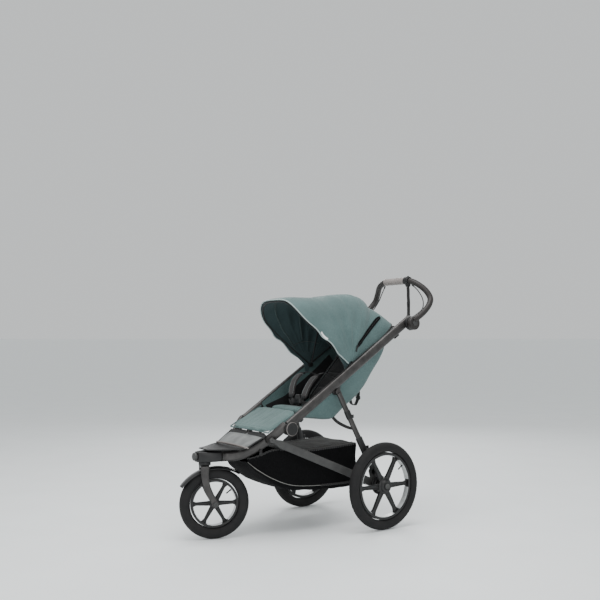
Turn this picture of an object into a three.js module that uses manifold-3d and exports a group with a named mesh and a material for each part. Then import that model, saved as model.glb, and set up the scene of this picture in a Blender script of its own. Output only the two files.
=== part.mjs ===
// Three-wheel jogging stroller: folding tube frame, swivelling front wheel, two sprung-release
// rear wheels, reclining seat, fan-folding canopy and an under-seat basket.
// Millimetres, +Z up, the stroller faces -Y and its left side is +X.
import * as THREE from 'three';
import { mergeVertices } from 'three/addons/utils/BufferGeometryUtils.js';
import Module from 'manifold-3d';

const wasm = await Module();
wasm.setup();

// ---- Driving dimensions (y and z measured from the floor point under the rear axle) ----
const ORIGIN_SHIFT_Y = 224.35;           // moves the middle of the length onto y = 0
const GAP = 0.4;                         // clearance between touching pieces

const REAR_WHEEL = { radius: 200, width: 46, rim: 154, bead: 141, hub: 38, flange: 27 };
const FRONT_WHEEL = { radius: 155, width: 44, rim: 106, bead: 95, hub: 24, flange: 20 };
const HALF_TRACK = 319;
const WHEEL_SEGMENTS = 32;
const SPOKES = 6;

const STEER_Y = -767;
const STEER_TRAIL = 44;
const SWIVEL = -0.352;                   // the front wheel rests turned to one side

const FOLD_PIVOT = { y: -441, z: 479 };  // upper frame on front frame
const BAR_PIVOT = { y: -530, z: 432, x: 180 };   // lower bars on front frame
const LEG_PIVOT = { y: -175, z: 632 };   // rear legs on upper frame
const LEG_FOOT = { y: -27, z: 262 };     // rear legs on the axle brackets
const HANDLE_PIVOT = { y: 278, z: 957 };
const RECLINE_PIVOT = { y: -165, z: 556 };
const CANOPY_PIVOT = { y: -75, z: 748 };
const FRONT_BOW_ANGLE = 141;             // canopy angles are about its pivot, from the rear
const VISOR = { angle: 112, lean: 5, reach: 0.72 };  // the visor's crown leans back
const AXLE_Z = REAR_WHEEL.radius;

const TUBE_X = 186;                      // centre of each upper tube
const TUBE = { width: 28, height: 44 };
const UPPER_SLOPE = 0.66;
const UPPER_END_Y = 290;
const HANDLE_RADIUS = 15;
const KNUCKLE_RADIUS = 30;
const SEAT_HALF = 148;
const BASKET_HALF = 150;

// ---- Materials ----
const material = (color, roughness, metalness = 0) =>
  new THREE.MeshStandardMaterial({ color, roughness, metalness });
const graphite = () => material(0x4b4746, 0.42, 0.7);
const greyMetal = () => material(0x5c5a59, 0.5, 0.6);
const blackPlastic = () => material(0x17181a, 0.55);
const silver = () => material(0xa9a5a4, 0.35, 0.8);
const rubber = () => material(0x1c1c1e, 0.85);
const fabric = () => material(0x6f8583, 0.9);
const darkFabric = () => material(0x1b2021, 0.95);
const lightPanel = () => material(0x9a9c9b, 0.6);

// ---- Solid helpers ----
const X_AXIS = new THREE.Vector3(1, 0, 0);
const v3 = (x, y, z) => new THREE.Vector3(x, y, z);

function toSolid(geometry) {
  const bare = geometry.clone();
  bare.deleteAttribute('normal');
  bare.deleteAttribute('uv');
  const merged = mergeVertices(bare, 1e-4);
  return new wasm.Manifold(new wasm.Mesh({
    numProp: 3,
    vertProperties: Float32Array.from(merged.attributes.position.array),
    triVerts: Uint32Array.from(merged.index.array),
  }));
}

function toGeometry(solid) {
  const mesh = solid.getMesh();
  const geometry = new THREE.BufferGeometry();
  geometry.setAttribute('position', new THREE.BufferAttribute(mesh.vertProperties, 3));
  geometry.setIndex(new THREE.BufferAttribute(mesh.triVerts, 1));
  return geometry;
}

const union = (geometries) => geometries.map(toSolid).reduce((a, b) => a.add(b));
const join = (...geometries) => toGeometry(union(geometries));
const carve = (geometries, tools) => toGeometry(union(geometries).subtract(union(tools)));

function cylinderX(radius, x0, x1, { y, z }, sides = 16) {
  const geometry = new THREE.CylinderGeometry(radius, radius, Math.abs(x1 - x0), sides);
  return geometry.rotateZ(Math.PI / 2).translate((x0 + x1) / 2, y, z);
}

function cylinderZ(radius, z0, z1, x, y, sides = 18) {
  const geometry = new THREE.CylinderGeometry(radius, radius, z1 - z0, sides);
  return geometry.rotateX(Math.PI / 2).translate(x, y, (z0 + z1) / 2);
}

const block = (size, centre) => new THREE.BoxGeometry(...size).translate(...centre);

function outline(points) {
  return new THREE.Shape(points.map(([a, b]) => new THREE.Vector2(a, b)));
}

// Extrudes a (y, z) outline across x from x0 to x1.
function plateX(points, x0, x1) {
  const geometry = new THREE.ExtrudeGeometry(outline(points), {
    depth: Math.abs(x1 - x0), bevelEnabled: false,
  });
  geometry.applyMatrix4(new THREE.Matrix4().makeBasis(v3(0, 1, 0), v3(0, 0, 1), X_AXIS));
  return geometry.translate(Math.min(x0, x1), 0, 0);
}

// Extrudes an (x, y) outline upward from z0 to z1.
function plateZ(points, z0, z1) {
  return new THREE.ExtrudeGeometry(outline(points), {
    depth: z1 - z0, bevelEnabled: false,
  }).translate(0, 0, z0);
}

// A smooth path whose section keeps its first axis along `side`.
class LevelCurve extends THREE.CatmullRomCurve3 {
  constructor(points, side) {
    super(points);
    this.side = side;
  }

  computeFrenetFrames(segments) {
    const tangents = [], normals = [], binormals = [];
    for (let i = 0; i <= segments; i++) {
      const tangent = this.getTangentAt(i / segments).normalize();
      const normal = this.side.clone().addScaledVector(tangent, -this.side.dot(tangent));
      normal.normalize();
      tangents.push(tangent);
      normals.push(normal);
      binormals.push(new THREE.Vector3().crossVectors(tangent, normal));
    }
    return { tangents, normals, binormals };
  }
}

function oval(width, height) {
  const shape = new THREE.Shape();
  shape.absellipse(0, 0, width / 2, height / 2, 0, Math.PI * 2, false, 0);
  return shape;
}

function softRectangle(width, height, corner) {
  const w = width / 2, h = height / 2;
  return outline([
    [w, -h + corner], [w, h - corner], [w - corner, h], [-w + corner, h],
    [-w, h - corner], [-w, -h + corner], [-w + corner, -h], [w - corner, -h],
  ]);
}

function sweep(points, shape, steps, curveSegments = 6, side = X_AXIS) {
  return new THREE.ExtrudeGeometry(shape, {
    steps, curveSegments, bevelEnabled: false,
    extrudePath: new LevelCurve(points.map((p) => v3(...p)), side),
  });
}

// Joins closed rings of equal length with quads, leaving both ends open.
function joinRings(rings) {
  const count = rings[0].length;
  const positions = rings.flat().flatMap((p) => [p.x, p.y, p.z]);
  const index = [];
  for (let r = 0; r < rings.length - 1; r++) {
    for (let i = 0; i < count; i++) {
      const a = r * count + i, b = r * count + (i + 1) % count;
      index.push(a, b, b + count, a, b + count, a + count);
    }
  }
  return { count, positions, index, last: (rings.length - 1) * count };
}

// A solid through closed rings, capped at both ends; faces point outward.
function loft(rings) {
  const { count, positions, index, last } = joinRings(rings);
  for (const [start, flip] of [[0, true], [last, false]]) {
    const hub = positions.length / 3;
    const centre = rings[start / count].reduce((sum, p) => sum.add(p), v3(0, 0, 0));
    centre.divideScalar(count);
    positions.push(centre.x, centre.y, centre.z);
    for (let i = 0; i < count; i++) {
      const a = start + i, b = start + (i + 1) % count;
      index.push(...(flip ? [hub, b, a] : [hub, a, b]));
    }
  }
  return facedOutward(positions, index);
}

// Turns a grid of points into a closed skin of the given thickness, grown inward.
function skin(grid, inward, thickness) {
  const rows = grid.length, columns = grid[0].length;
  const inner = grid.map((row, i) => row.map((p, j) =>
    p.clone().addScaledVector(inward(i, j), thickness)));
  const positions = [...grid.flat(), ...inner.flat()].flatMap((p) => [p.x, p.y, p.z]);
  const at = (i, j, layer) => layer * rows * columns + i * columns + j;
  const index = [];
  const quad = (a, b, c, d) => index.push(a, b, c, a, c, d);
  for (let i = 0; i < rows - 1; i++) {
    for (let j = 0; j < columns - 1; j++) {
      quad(at(i, j, 0), at(i, j + 1, 0), at(i + 1, j + 1, 0), at(i + 1, j, 0));
      quad(at(i, j, 1), at(i + 1, j, 1), at(i + 1, j + 1, 1), at(i, j + 1, 1));
    }
  }
  for (let i = 0; i < rows - 1; i++) {
    quad(at(i, 0, 1), at(i, 0, 0), at(i + 1, 0, 0), at(i + 1, 0, 1));
    quad(at(i + 1, columns - 1, 1), at(i + 1, columns - 1, 0),
      at(i, columns - 1, 0), at(i, columns - 1, 1));
  }
  for (let j = 0; j < columns - 1; j++) {
    quad(at(0, j, 0), at(0, j, 1), at(0, j + 1, 1), at(0, j + 1, 0));
    quad(at(rows - 1, j + 1, 0), at(rows - 1, j + 1, 1),
      at(rows - 1, j, 1), at(rows - 1, j, 0));
  }
  return facedOutward(positions, index);
}

function facedOutward(positions, index) {
  let volume = 0;
  const corner = (i) => v3(...positions.slice(3 * i, 3 * i + 3));
  for (let i = 0; i < index.length; i += 3) {
    const [a, b, c] = [corner(index[i]), corner(index[i + 1]), corner(index[i + 2])];
    volume += a.dot(b.cross(c));
  }
  const geometry = new THREE.BufferGeometry();
  geometry.setAttribute('position', new THREE.Float32BufferAttribute(positions, 3));
  geometry.setIndex(volume < 0 ? index.reverse() : index);
  return geometry;
}

// ---- Scene graph ----
const stroller = new THREE.Group();
const frame = new THREE.Group();
frame.position.y = ORIGIN_SHIFT_Y;
stroller.add(frame);

const caster = new THREE.Group();
caster.position.y = STEER_Y;
caster.rotation.z = SWIVEL;
frame.add(caster);

function add(name, geometry, look, parent = frame) {
  const mesh = new THREE.Mesh(geometry, look);
  mesh.name = name;
  parent.add(mesh);
  return mesh;
}

const SIDES = [['left', 1], ['right', -1]];
const upperTubeZ = (y) => 656.4 + UPPER_SLOPE * (y + 200);
const upperLine = new THREE.Vector2(1, UPPER_SLOPE).normalize();   // (y, z) up the tube
const upperNormal = new THREE.Vector2(-upperLine.y, upperLine.x);  // out of its top

// ---- Wheels (axle along x, centred on the local origin) ----
function ringX(profile, segments = WHEEL_SEGMENTS) {
  const points = [...profile, profile[0]].map(([r, x]) => new THREE.Vector2(r, x));
  return new THREE.LatheGeometry(points, segments).rotateZ(-Math.PI / 2);
}

function tyre({ radius, width, rim }) {
  const half = width / 2, middle = (radius + rim) / 2, inner = rim + GAP;
  return ringX([
    [inner, -half * 0.62], [middle, -half], [radius - 9, -half * 0.82],
    [radius - 2, -half * 0.42], [radius, 0], [radius - 2, half * 0.42],
    [radius - 9, half * 0.82], [middle, half], [inner, half * 0.62],
  ]);
}

function spoke(angle, from, to, root, tip, x0, x1) {
  return plateX([[from, -root], [to, -tip], [to, tip], [from, root]], x0, x1).rotateX(angle);
}

function spokedRim(wheel, hubSpan, bore) {
  const { rim, bead, hub, flange, width } = wheel;
  const wall = width * 0.3;
  const centre = { y: 0, z: 0 };
  const pieces = [
    ringX([[bead, -wall * 0.9], [rim, -wall], [rim, wall], [bead, wall * 0.9]]),
    cylinderX(hub, -9, 9, centre, 20),
    cylinderX(flange, hubSpan[0], hubSpan[1], centre, 16),
  ];
  for (let i = 0; i < SPOKES; i++) {
    pieces.push(spoke(i * Math.PI * 2 / SPOKES, hub - 4, bead + 2, hub * 0.3, hub * 0.2, -6, 6));
  }
  const holes = bore.map(([r, x0, x1]) => cylinderX(r, x0, x1, centre, 16));
  return carve(pieces, holes);
}

// ---- Front frame ----
function frontTubePath(s) {
  return [
    [s * TUBE_X, FOLD_PIVOT.y, 507],
    [s * 180, -468, 486], [s * 165, -497, 459], [s * 143, -526, 430],
    [s * 112, -566, 396], [s * 82, -608, 371], [s * 56, -652, 360.5],
    [s * 39, -684, 360], [s * 39, -706, 360],
  ];
}

function frontTube(s) {
  const tube = sweep(frontTubePath(s), oval(TUBE.width, TUBE.height), 14, 5);
  const inside = s * (TUBE_X - 14.5), middle = s * (TUBE_X - 0.5);
  const splitCut = plateX([
    [FOLD_PIVOT.y - 0.5 * upperLine.x, FOLD_PIVOT.z],
    [FOLD_PIVOT.y - 0.5 * upperLine.x + 60 * upperNormal.x, FOLD_PIVOT.z + 60 * upperNormal.y],
    [FOLD_PIVOT.y + 60, FOLD_PIVOT.z + 90], [FOLD_PIVOT.y + 60, FOLD_PIVOT.z - 40],
  ], s * 165, s * 205);
  const shaped = toSolid(tube).subtract(toSolid(splitCut))
    .subtract(toSolid(cylinderX(KNUCKLE_RADIUS + 1, middle, s * 205, FOLD_PIVOT)))
    .add(toSolid(cylinderX(KNUCKLE_RADIUS, inside, middle - s * 0.5, FOLD_PIVOT)))
    .add(toSolid(cylinderX(17, s * 148, s * 173.5, BAR_PIVOT)))
    .subtract(toSolid(cylinderX(8.4, s * 160, s * 205, FOLD_PIVOT, 16)));
  return toGeometry(shaped);
}

function headHousing() {
  const top = [
    [-54, -706.5], [54, -706.5], [54, -738], [31, -792], [20, -808],
    [-20, -808], [-31, -792], [-54, -738],
  ];
  return carve(
    [plateZ(top, 340, 384), cylinderZ(27, 322, 345, 0, STEER_Y)],
    [cylinderZ(10.4, 300, 370, 0, STEER_Y)],
  );
}

function buildFrontFrame() {
  for (const [side, s] of SIDES) add(`front_tube_${side}`, frontTube(s), graphite());
  add('head_housing', headHousing(), blackPlastic());

  const knob = new THREE.CylinderGeometry(18, 15, 14, 20);
  knob.translate(0, -808 - GAP - 7, 364);
  add('swivel_lock_knob', knob, blackPlastic());

  const deck = [
    [-40, -775], [40, -775], [62, -735], [118, -660], [128, -636], [-128, -636],
    [-118, -660], [-62, -735],
  ];
  add('footrest_tray', plateZ(deck, 388.5, 397), blackPlastic());
  add('footrest_panel', plateX([
    [-632, 402], [-632, 397], [-622, 397], [-546, 442], [-550, 447],
  ], -112, 112), lightPanel());
  add('leg_rest_bar', cylinderX(6, -120, 120, { y: -533, z: 453 }, 12), graphite());
  add('leg_rest_fabric', plateX([
    [-526, 462], [-366, 551], [-366, 561], [-372, 563], [-530, 474],
  ], -SEAT_HALF, SEAT_HALF), fabric());
}

// ---- Caster: fork, mudguard and front wheel in a group turned about the steering axis ----
function fork() {
  const blade = (s) => sweep([
    [s * 32, -2, 319], [s * 32, -1, 275], [s * 32, 12, 222], [s * 32, 34, 176],
    [s * 32, STEER_TRAIL, 155],
  ], softRectangle(9, 26, 3), 8);
  const hub = { y: STEER_TRAIL, z: FRONT_WHEEL.radius };
  return carve([
    cylinderZ(10, 315, 368, 0, 0), cylinderZ(14, 315, 321.5, 0, 0),
    block([73, 28, 7], [0, -1, 318]), blade(1), blade(-1),
    cylinderX(15, 27.5, 37, hub, 20), cylinderX(15, -37, -27.5, hub, 20),
  ], [cylinderX(6.4, -50, 50, hub, 20)]);
}

function mudguard() {
  const inner = FRONT_WHEEL.radius + 3.4, outer = inner + 2.2;
  const from = 0.62, to = 2.62, steps = 14;
  const rings = [];
  for (let i = 0; i <= steps; i++) {
    const angle = from + (to - from) * i / steps;
    const section = [
      [-25, inner - 8], [-25.5, outer - 8], [-17, outer], [17, outer], [25.5, outer - 8],
      [25, inner - 8], [16, inner], [-16, inner],
    ];
    rings.push(section.map(([x, r]) =>
      v3(x, STEER_TRAIL + r * Math.cos(angle), FRONT_WHEEL.radius + r * Math.sin(angle))));
  }
  return loft(rings);
}

function buildCaster() {
  add('front_fork', fork(), graphite(), caster);
  add('front_mudguard', mudguard(), blackPlastic(), caster);
  const hub = { y: STEER_TRAIL, z: FRONT_WHEEL.radius };
  const axle = join(
    cylinderX(6, -40, 40, hub, 20), cylinderX(11, 37.4, 43, hub, 20),
    cylinderX(11, -43, -37.4, hub, 20),
  );
  add('front_axle', axle, greyMetal(), caster);
  const place = [0, STEER_TRAIL, FRONT_WHEEL.radius];
  add('front_tyre', tyre(FRONT_WHEEL).translate(...place), rubber(), caster);
  add('front_rim', spokedRim(FRONT_WHEEL, [-26, 26], [[6.4, -40, 40]]).translate(...place),
    blackPlastic(), caster);
}

// ---- Upper frame ----
function upperTube(s) {
  const tube = sweep([FOLD_PIVOT.y - 30, -200, 60, UPPER_END_Y].map(
    (y) => [s * TUBE_X, y, upperTubeZ(y)]), oval(TUBE.width, TUBE.height), 3, 5);
  const outside = s * (TUBE_X + 14.5), middle = s * (TUBE_X + 0.5);
  const start = { y: FOLD_PIVOT.y + 0.5 * upperLine.x, z: FOLD_PIVOT.z };
  const splitCut = plateX([
    [start.y, start.z], [start.y + 70 * upperNormal.x, start.z + 70 * upperNormal.y],
    [start.y - 90, start.z + 40], [start.y - 60, start.z - 60],
  ], s * 165, s * 205);
  const tab = plateX([
    [-206, 655], [-150, 690], [-161, 630], [-189, 627],
  ], s * 178, s * 191.5);
  const shaped = toSolid(tube).subtract(toSolid(splitCut))
    .subtract(toSolid(cylinderX(KNUCKLE_RADIUS + 1, s * 165, middle, FOLD_PIVOT)))
    .add(toSolid(cylinderX(KNUCKLE_RADIUS, middle + s * 0.5, outside, FOLD_PIVOT)))
    .add(toSolid(tab)).add(toSolid(cylinderX(14, s * 178, s * 191.5, LEG_PIVOT)))
    .subtract(toSolid(cylinderX(8.4, s * 160, s * 205, FOLD_PIVOT, 16)));
  return toGeometry(shaped);
}

function hingeCap(s) {
  return join(
    cylinderX(33, s * 201, s * 209, FOLD_PIVOT, 24),
    cylinderX(29, s * 208, s * 212, FOLD_PIVOT, 24),
    cylinderX(8, s * 173, s * 202, FOLD_PIVOT, 16),
  );
}

function handleHousing(s) {
  return join(
    cylinderX(35, s * 200.5, s * 214, HANDLE_PIVOT, 24),
    cylinderX(8, s * 213, s * 226, HANDLE_PIVOT, 16),
  );
}

function seatSide(s) {
  return plateX([
    [-345, 537], [-330, 519], [-262, 512], [-165, 512], [-134, 536], [-91, 566],
    [29, 676], [151, 825], [160, 862], [-60, 722],
  ], s * 157, s * 161);
}

function buildUpperFrame() {
  for (const [side, s] of SIDES) {
    add(`upper_tube_${side}`, upperTube(s), graphite());
    add(`hinge_cap_${side}`, hingeCap(s), blackPlastic());
    add(`handle_housing_${side}`, handleHousing(s), blackPlastic());
    add(`canopy_pivot_${side}`, cylinderX(12, s * 164, s * 171.5, CANOPY_PIVOT),
      blackPlastic());
    add(`seat_side_${side}`, seatSide(s), fabric());
  }
  add('back_cross_bar', cylinderX(10, -171.5, 171.5, { y: 222, z: 935 }, 14), blackPlastic());
  add('seat_base', plateX([
    [-352, 556], [-345, 528], [-320, 518], [-190, 516], [-168, 524], [-168, 540],
    [-200, 552], [-300, 562], [-340, 563],
  ], -SEAT_HALF + 2, SEAT_HALF - 2), fabric());
  add('crotch_buckle', join(
    block([46, 16, 52], [0, -262, 592]), block([26, 8, 20], [0, -262, 570.5]),
  ), blackPlastic());
}

// ---- Seat back and harness ----
function harness(s) {
  return sweep([
    [s * 62, -92, 694], [s * 60, -140, 716], [s * 58, -200, 712],
    [s * 54, -246, 676], [s * 50, -264, 632], [s * 48, -268, 585],
  ], softRectangle(44, 13, 4), 10);
}

function buildSeatBack() {
  const up = v3(0, 0.682, 0.731), out = v3(0, -0.731, 0.682);
  const foot = v3(0, -118, 544);
  const at = (along, depth) => {
    const p = foot.clone().addScaledVector(up, along).addScaledVector(out, depth);
    return [p.y, p.z];
  };
  add('seat_back', plateX([
    at(0, 0), at(392, 0), at(402, 10), at(402, 34), at(392, 44), at(24, 44), at(6, 30),
  ], -143, 143), fabric());
  for (const [side, s] of SIDES) add(`harness_${side}`, harness(s), blackPlastic());
}

// ---- Canopy ----
const CANOPY_FAN = [        // angle about the pivot, crown radius, half width
  [FRONT_BOW_ANGLE, 455, 208], [132, 422, 204], [122, 384, 198], [104, 342, 190], [89, 345, 187],
  [74, 366, 186], [60, 374, 180], [47, 386, 170], [36, 366, 165],
];

// Degrees by which a point of the visor leans back; part is its share of the crown's reach.
function visorLean(angle, part) {
  const forward = Math.max(0, (angle - VISOR.angle) / (FRONT_BOW_ANGLE - VISOR.angle));
  const high = Math.max(0, (part - VISOR.reach) / (1 - VISOR.reach));
  return VISOR.lean * Math.pow(forward, 1.6) * Math.pow(high, 1.5);
}

// A point of the canopy arch: t runs from -1 (right foot) to 1 (left foot).
function canopyPoint(angle, crown, halfWidth, t, inset = 0) {
  const turn = (1 - Math.abs(t)) * Math.PI / 2;
  const reach = 26 + (crown - inset - 26) * Math.pow(Math.sin(turn), 0.72);
  const flare = 1 - Math.pow(1 - reach / crown, 2) * (1 - 166 / halfWidth);
  const across = (halfWidth - inset) * flare * Math.pow(Math.cos(turn), 0.5);
  const radians = (angle - visorLean(angle, reach / (crown - inset))) * Math.PI / 180;
  return v3(Math.sign(t) * across, CANOPY_PIVOT.y + reach * Math.cos(radians),
    CANOPY_PIVOT.z + reach * Math.sin(radians));
}

function canopyFabric() {
  const columns = 16;
  const place = (inset) => CANOPY_FAN.map(([angle, crown, half]) =>
    Array.from({ length: columns + 1 }, (_, j) =>
      canopyPoint(angle, crown, half, 2 * j / columns - 1, inset)));
  const outer = place(0), inner = place(3);
  return skin(outer, (i, j) => inner[i][j].clone().sub(outer[i][j]).normalize(), 3);
}

function canopyBow(index, inset, hub0, hub1) {
  const [angle, crown, half] = CANOPY_FAN[index];
  const points = [];
  for (let i = -10; i <= 10; i++) {
    const p = canopyPoint(angle, crown, half, i * 0.092, inset);
    points.push([p.x, p.y, p.z]);
  }
  const radians = angle * Math.PI / 180;
  const foot = [CANOPY_PIVOT.y + 9 * Math.cos(radians), CANOPY_PIVOT.z + 9 * Math.sin(radians)];
  const side = v3(0, -Math.sin(radians), Math.cos(radians));
  const wire = sweep([[-hub1 + 3, ...foot], ...points, [hub1 - 3, ...foot]],
    oval(7, 7), 28, 3, side);
  return join(wire, ...SIDES.map(([, s]) => cylinderX(11, s * hub0, s * hub1, CANOPY_PIVOT, 16)));
}

function buildCanopy() {
  add('canopy_fabric', canopyFabric(), fabric());
  add('canopy_front_bow', canopyBow(0, 12, 155, 161), blackPlastic());
  add('canopy_mid_bow', canopyBow(5, 20, 147.5, 153.5), blackPlastic());
}

// ---- Handlebar ----
const HANDLE_HALF = [
  [231, 272, 970], [231, 319, 996], [229, 354, 1020], [225, 388, 1052], [213, 409, 1085],
  [188, 404, 1124], [150, 385, 1158], [104, 377, 1178], [60, 377, 1181],
];

function handlebar() {
  const mirrored = HANDLE_HALF.map(([x, y, z]) => [-x, y, z]).reverse();
  const side = v3(0, 0.5, 0.87);
  const tube = sweep([...HANDLE_HALF, ...mirrored], oval(2 * HANDLE_RADIUS, 2 * HANDLE_RADIUS),
    34, 5, side);
  const hubs = SIDES.map(([, s]) => cylinderX(33, s * 214.5, s * 240, HANDLE_PIVOT, 24));
  const recesses = SIDES.flatMap(([, s]) => [
    cylinderX(8.4, s * 212, s * 227, HANDLE_PIVOT, 16),
    cylinderX(15, s * 229, s * 250, HANDLE_PIVOT, 20),
  ]);
  const grip = cylinderX(26, -96, 98, { y: 377, z: 1181 }, 10);
  const core = cylinderX(12, -98, 100, { y: 377, z: 1181 }, 16);
  return toGeometry(union([tube, ...hubs]).subtract(union(recesses))
    .subtract(toSolid(grip)).add(toSolid(core)));
}

function sleeveX(inner, outer, x0, x1, place) {
  return ringX([[inner, x0], [outer, x0], [outer, x1], [inner, x1]], 20)
    .translate(0, place.y, place.z);
}

function buildHandle() {
  const bar = { y: 377, z: 1181 };
  add('handlebar', handlebar(), rubber());
  add('brake_twist_grip', sleeveX(12.6, 18, -94, 60, bar), silver());
  add('handle_clamp', join(
    sleeveX(12.6, 20, 61, 96, bar), block([16, 10, 16], [82, 377, 1157]),
  ), blackPlastic());
  add('wrist_strap', sweep([
    [82, 377, 1148.5], [82, 379, 1100], [82, 381, 1050], [82, 380, 1000],
  ], softRectangle(16, 3.4, 1), 6), blackPlastic());
  for (const [side, s] of SIDES) {
    add(`handle_button_${side}`, cylinderX(14.2, s * 234, s * 243, HANDLE_PIVOT),
      blackPlastic());
    const endY = UPPER_END_Y + 1.2;
    add(`brake_cable_${side}`, sweep([
      [s * 104, 384, 1160], [s * 138, 394, 1128], [s * 172, 396, 1080], [s * 192, 374, 1034],
      [s * 190, 332, 1002], [s * TUBE_X, endY, upperTubeZ(UPPER_END_Y) + 0.8],
    ], oval(5, 5), 18, 3), blackPlastic());
  }
}

// ---- Rear carriage ----
function lowerBar(s) {
  const bar = sweep([
    [s * BAR_PIVOT.x, BAR_PIVOT.y, BAR_PIVOT.z],
    [s * 208, -353, 354.5], [s * 236, -176, 277], [s * 262, 0, AXLE_Z],
  ], softRectangle(12, 36, 4), 3);
  const hub = { y: 0, z: AXLE_Z };
  return join(
    bar, cylinderX(18.5, s * 174, s * 186, BAR_PIVOT), cylinderX(24, s * 251, s * 268, hub),
    plateX([[-22, 202], [22, 202], [-14, 266], [-40, 258]], s * 256, s * 268),
    cylinderX(14, s * 256, s * 268, LEG_FOOT, 20),
  );
}

function hubBracket(s) {
  const hub = { y: 0, z: AXLE_Z };
  return join(
    cylinderX(10, s * 268.5, s * 283, hub, 20), cylinderX(44, s * 282, s * 288, hub, 24),
    cylinderX(34, s * 287, s * 293.5, hub, 24), cylinderX(8, s * 293, s * 326, hub, 20),
  );
}

function brakePedal() {
  const sleeve = sleeveX(14.8, 20, -34, 34, { y: 0, z: AXLE_Z });
  const paddle = plateX([
    [14, 206], [16, 213], [74, 222], [88, 216], [86, 210], [74, 212],
  ], -34, 34);
  return toGeometry(toSolid(sleeve).add(toSolid(paddle)));
}

function rearLeg(s) {
  return join(
    sweep([[s * 203, -173, 627], [s * 223, -132, 524.5], [s * 244, -91, 422]],
      oval(18, 26), 3),
    cylinderX(14, s * 192.5, s * 205, LEG_PIVOT, 20),
  );
}

function legSocket(s) {
  return join(
    sweep([[s * 244.2, -90.6, 421.2], [s * 256, -66, 362], [s * 263, -51, 322]],
      oval(22, 32), 3),
    plateX([[-66, 334], [-40, 346], [-13, 265], [-40, 257]], s * 269.5, s * 279.5),
    block([14, 20, 22], [s * 267, -54, 336]),
    cylinderX(14.5, s * 269.5, s * 279.5, LEG_FOOT, 20),
  );
}

function buildCarriage() {
  add('rear_axle', cylinderX(14, -250.5, 250.5, { y: 0, z: AXLE_Z }, 20), graphite());
  add('brake_pedal', brakePedal(), blackPlastic());
  for (const [side, s] of SIDES) {
    add(`lower_bar_${side}`, lowerBar(s), greyMetal());
    add(`hub_bracket_${side}`, hubBracket(s), blackPlastic());
    add(`rear_leg_${side}`, rearLeg(s), graphite());
    add(`leg_socket_${side}`, legSocket(s), blackPlastic());
    const centre = [s * HALF_TRACK, 0, AXLE_Z];
    const outward = s > 0 ? 0 : Math.PI;
    add(`rear_tyre_${side}`, tyre(REAR_WHEEL).rotateZ(outward).translate(...centre), rubber());
    const rim = spokedRim(REAR_WHEEL, [-25, 23], [[8.5, -30, 8], [14.4, 12, 30]]);
    add(`rear_rim_${side}`, rim.rotateZ(outward).translate(...centre), blackPlastic());
    add(`wheel_button_${side}`, cylinderX(13.6, s * 336, s * 346, { y: 0, z: AXLE_Z }),
      greyMetal());
  }
}

// ---- Basket ----
const BASKET_PROFILE = [    // (y, rim z, floor z, half width) from front to back
  [-598, 343, 330, 96], [-560, 362, 288, 128], [-500, 380, 246, 146], [-410, 378, 207, 150],
  [-300, 368, 192, 150], [-160, 372, 187, 150], [-30, 378, 188, 150],
];

const BASKET_WALL = 4;
const BASKET_KNEE = 0.35;   // share of the depth where the sides start to turn in
const FLOOR_TUCK = 12;      // how much narrower each side is at the floor

// One level of the tub, seen from above: lift runs from 0 (floor) to 1 (rim).
function basketRing(inset, lift) {
  const onFloor = lift === 0;
  const edge = BASKET_PROFILE.map(([y, rim, floor, half], i) => {
    const along = i === 0 ? y + inset : i === BASKET_PROFILE.length - 1 ? y - inset : y;
    const z = floor + (rim - floor) * lift + (onFloor ? inset : 0);
    return v3(half - inset - (onFloor ? FLOOR_TUCK : 0), along, z);
  });
  return [...edge, ...edge.map((p) => v3(-p.x, p.y, p.z)).reverse()];
}

// The open tub: rings go up the inside, over the rim and down the outside, and each end is
// closed by a floor of quads from one long side to the other.
function basketGeometry() {
  const { count, positions, index, last } = joinRings([
    ...[0, BASKET_KNEE, 1].map((lift) => basketRing(BASKET_WALL, lift)),
    ...[1, BASKET_KNEE, 0].map((lift) => basketRing(0, lift)),
  ]);
  for (const [start, flip] of [[0, true], [last, false]]) {
    for (let i = 0; i < count / 2 - 1; i++) {
      const quad = [start + i, start + i + 1, start + count - 2 - i, start + count - 1 - i];
      if (flip) quad.reverse();
      index.push(quad[0], quad[1], quad[2], quad[0], quad[2], quad[3]);
    }
  }
  return facedOutward(positions, index);
}

function buildBasket() {
  add('basket', basketGeometry(), darkFabric());
  add('basket_cover', plateX([
    [-30, 383], [-300, 373], [-420, 384], [-420, 388], [-300, 377], [-30, 387],
  ], -146, 146), material(0x3b3d38, 0.9));
}

buildFrontFrame();
buildCaster();
buildUpperFrame();
buildSeatBack();
buildCanopy();
buildHandle();
buildCarriage();
buildBasket();

export default stroller;
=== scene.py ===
from math import acos, asin, atan2, copysign, cos, degrees, exp, hypot, pi, radians, sin

import bmesh
import bpy
import numpy as np
from mathutils import Matrix, Vector, noise


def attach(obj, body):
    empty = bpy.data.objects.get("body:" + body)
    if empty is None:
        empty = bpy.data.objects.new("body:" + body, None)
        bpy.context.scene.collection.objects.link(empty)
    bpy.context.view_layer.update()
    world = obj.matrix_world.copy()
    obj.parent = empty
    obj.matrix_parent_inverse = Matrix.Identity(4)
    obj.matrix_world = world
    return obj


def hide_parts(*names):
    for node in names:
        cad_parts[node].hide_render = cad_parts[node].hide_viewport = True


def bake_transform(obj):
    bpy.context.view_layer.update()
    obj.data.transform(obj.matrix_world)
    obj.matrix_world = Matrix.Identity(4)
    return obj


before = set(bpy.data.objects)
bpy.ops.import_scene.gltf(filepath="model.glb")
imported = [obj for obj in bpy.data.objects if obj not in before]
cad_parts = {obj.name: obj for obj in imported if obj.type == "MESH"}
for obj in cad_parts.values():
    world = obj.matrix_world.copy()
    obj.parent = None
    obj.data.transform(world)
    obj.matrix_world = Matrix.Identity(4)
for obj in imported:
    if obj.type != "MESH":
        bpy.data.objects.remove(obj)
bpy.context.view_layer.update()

MM = 0.001
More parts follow.
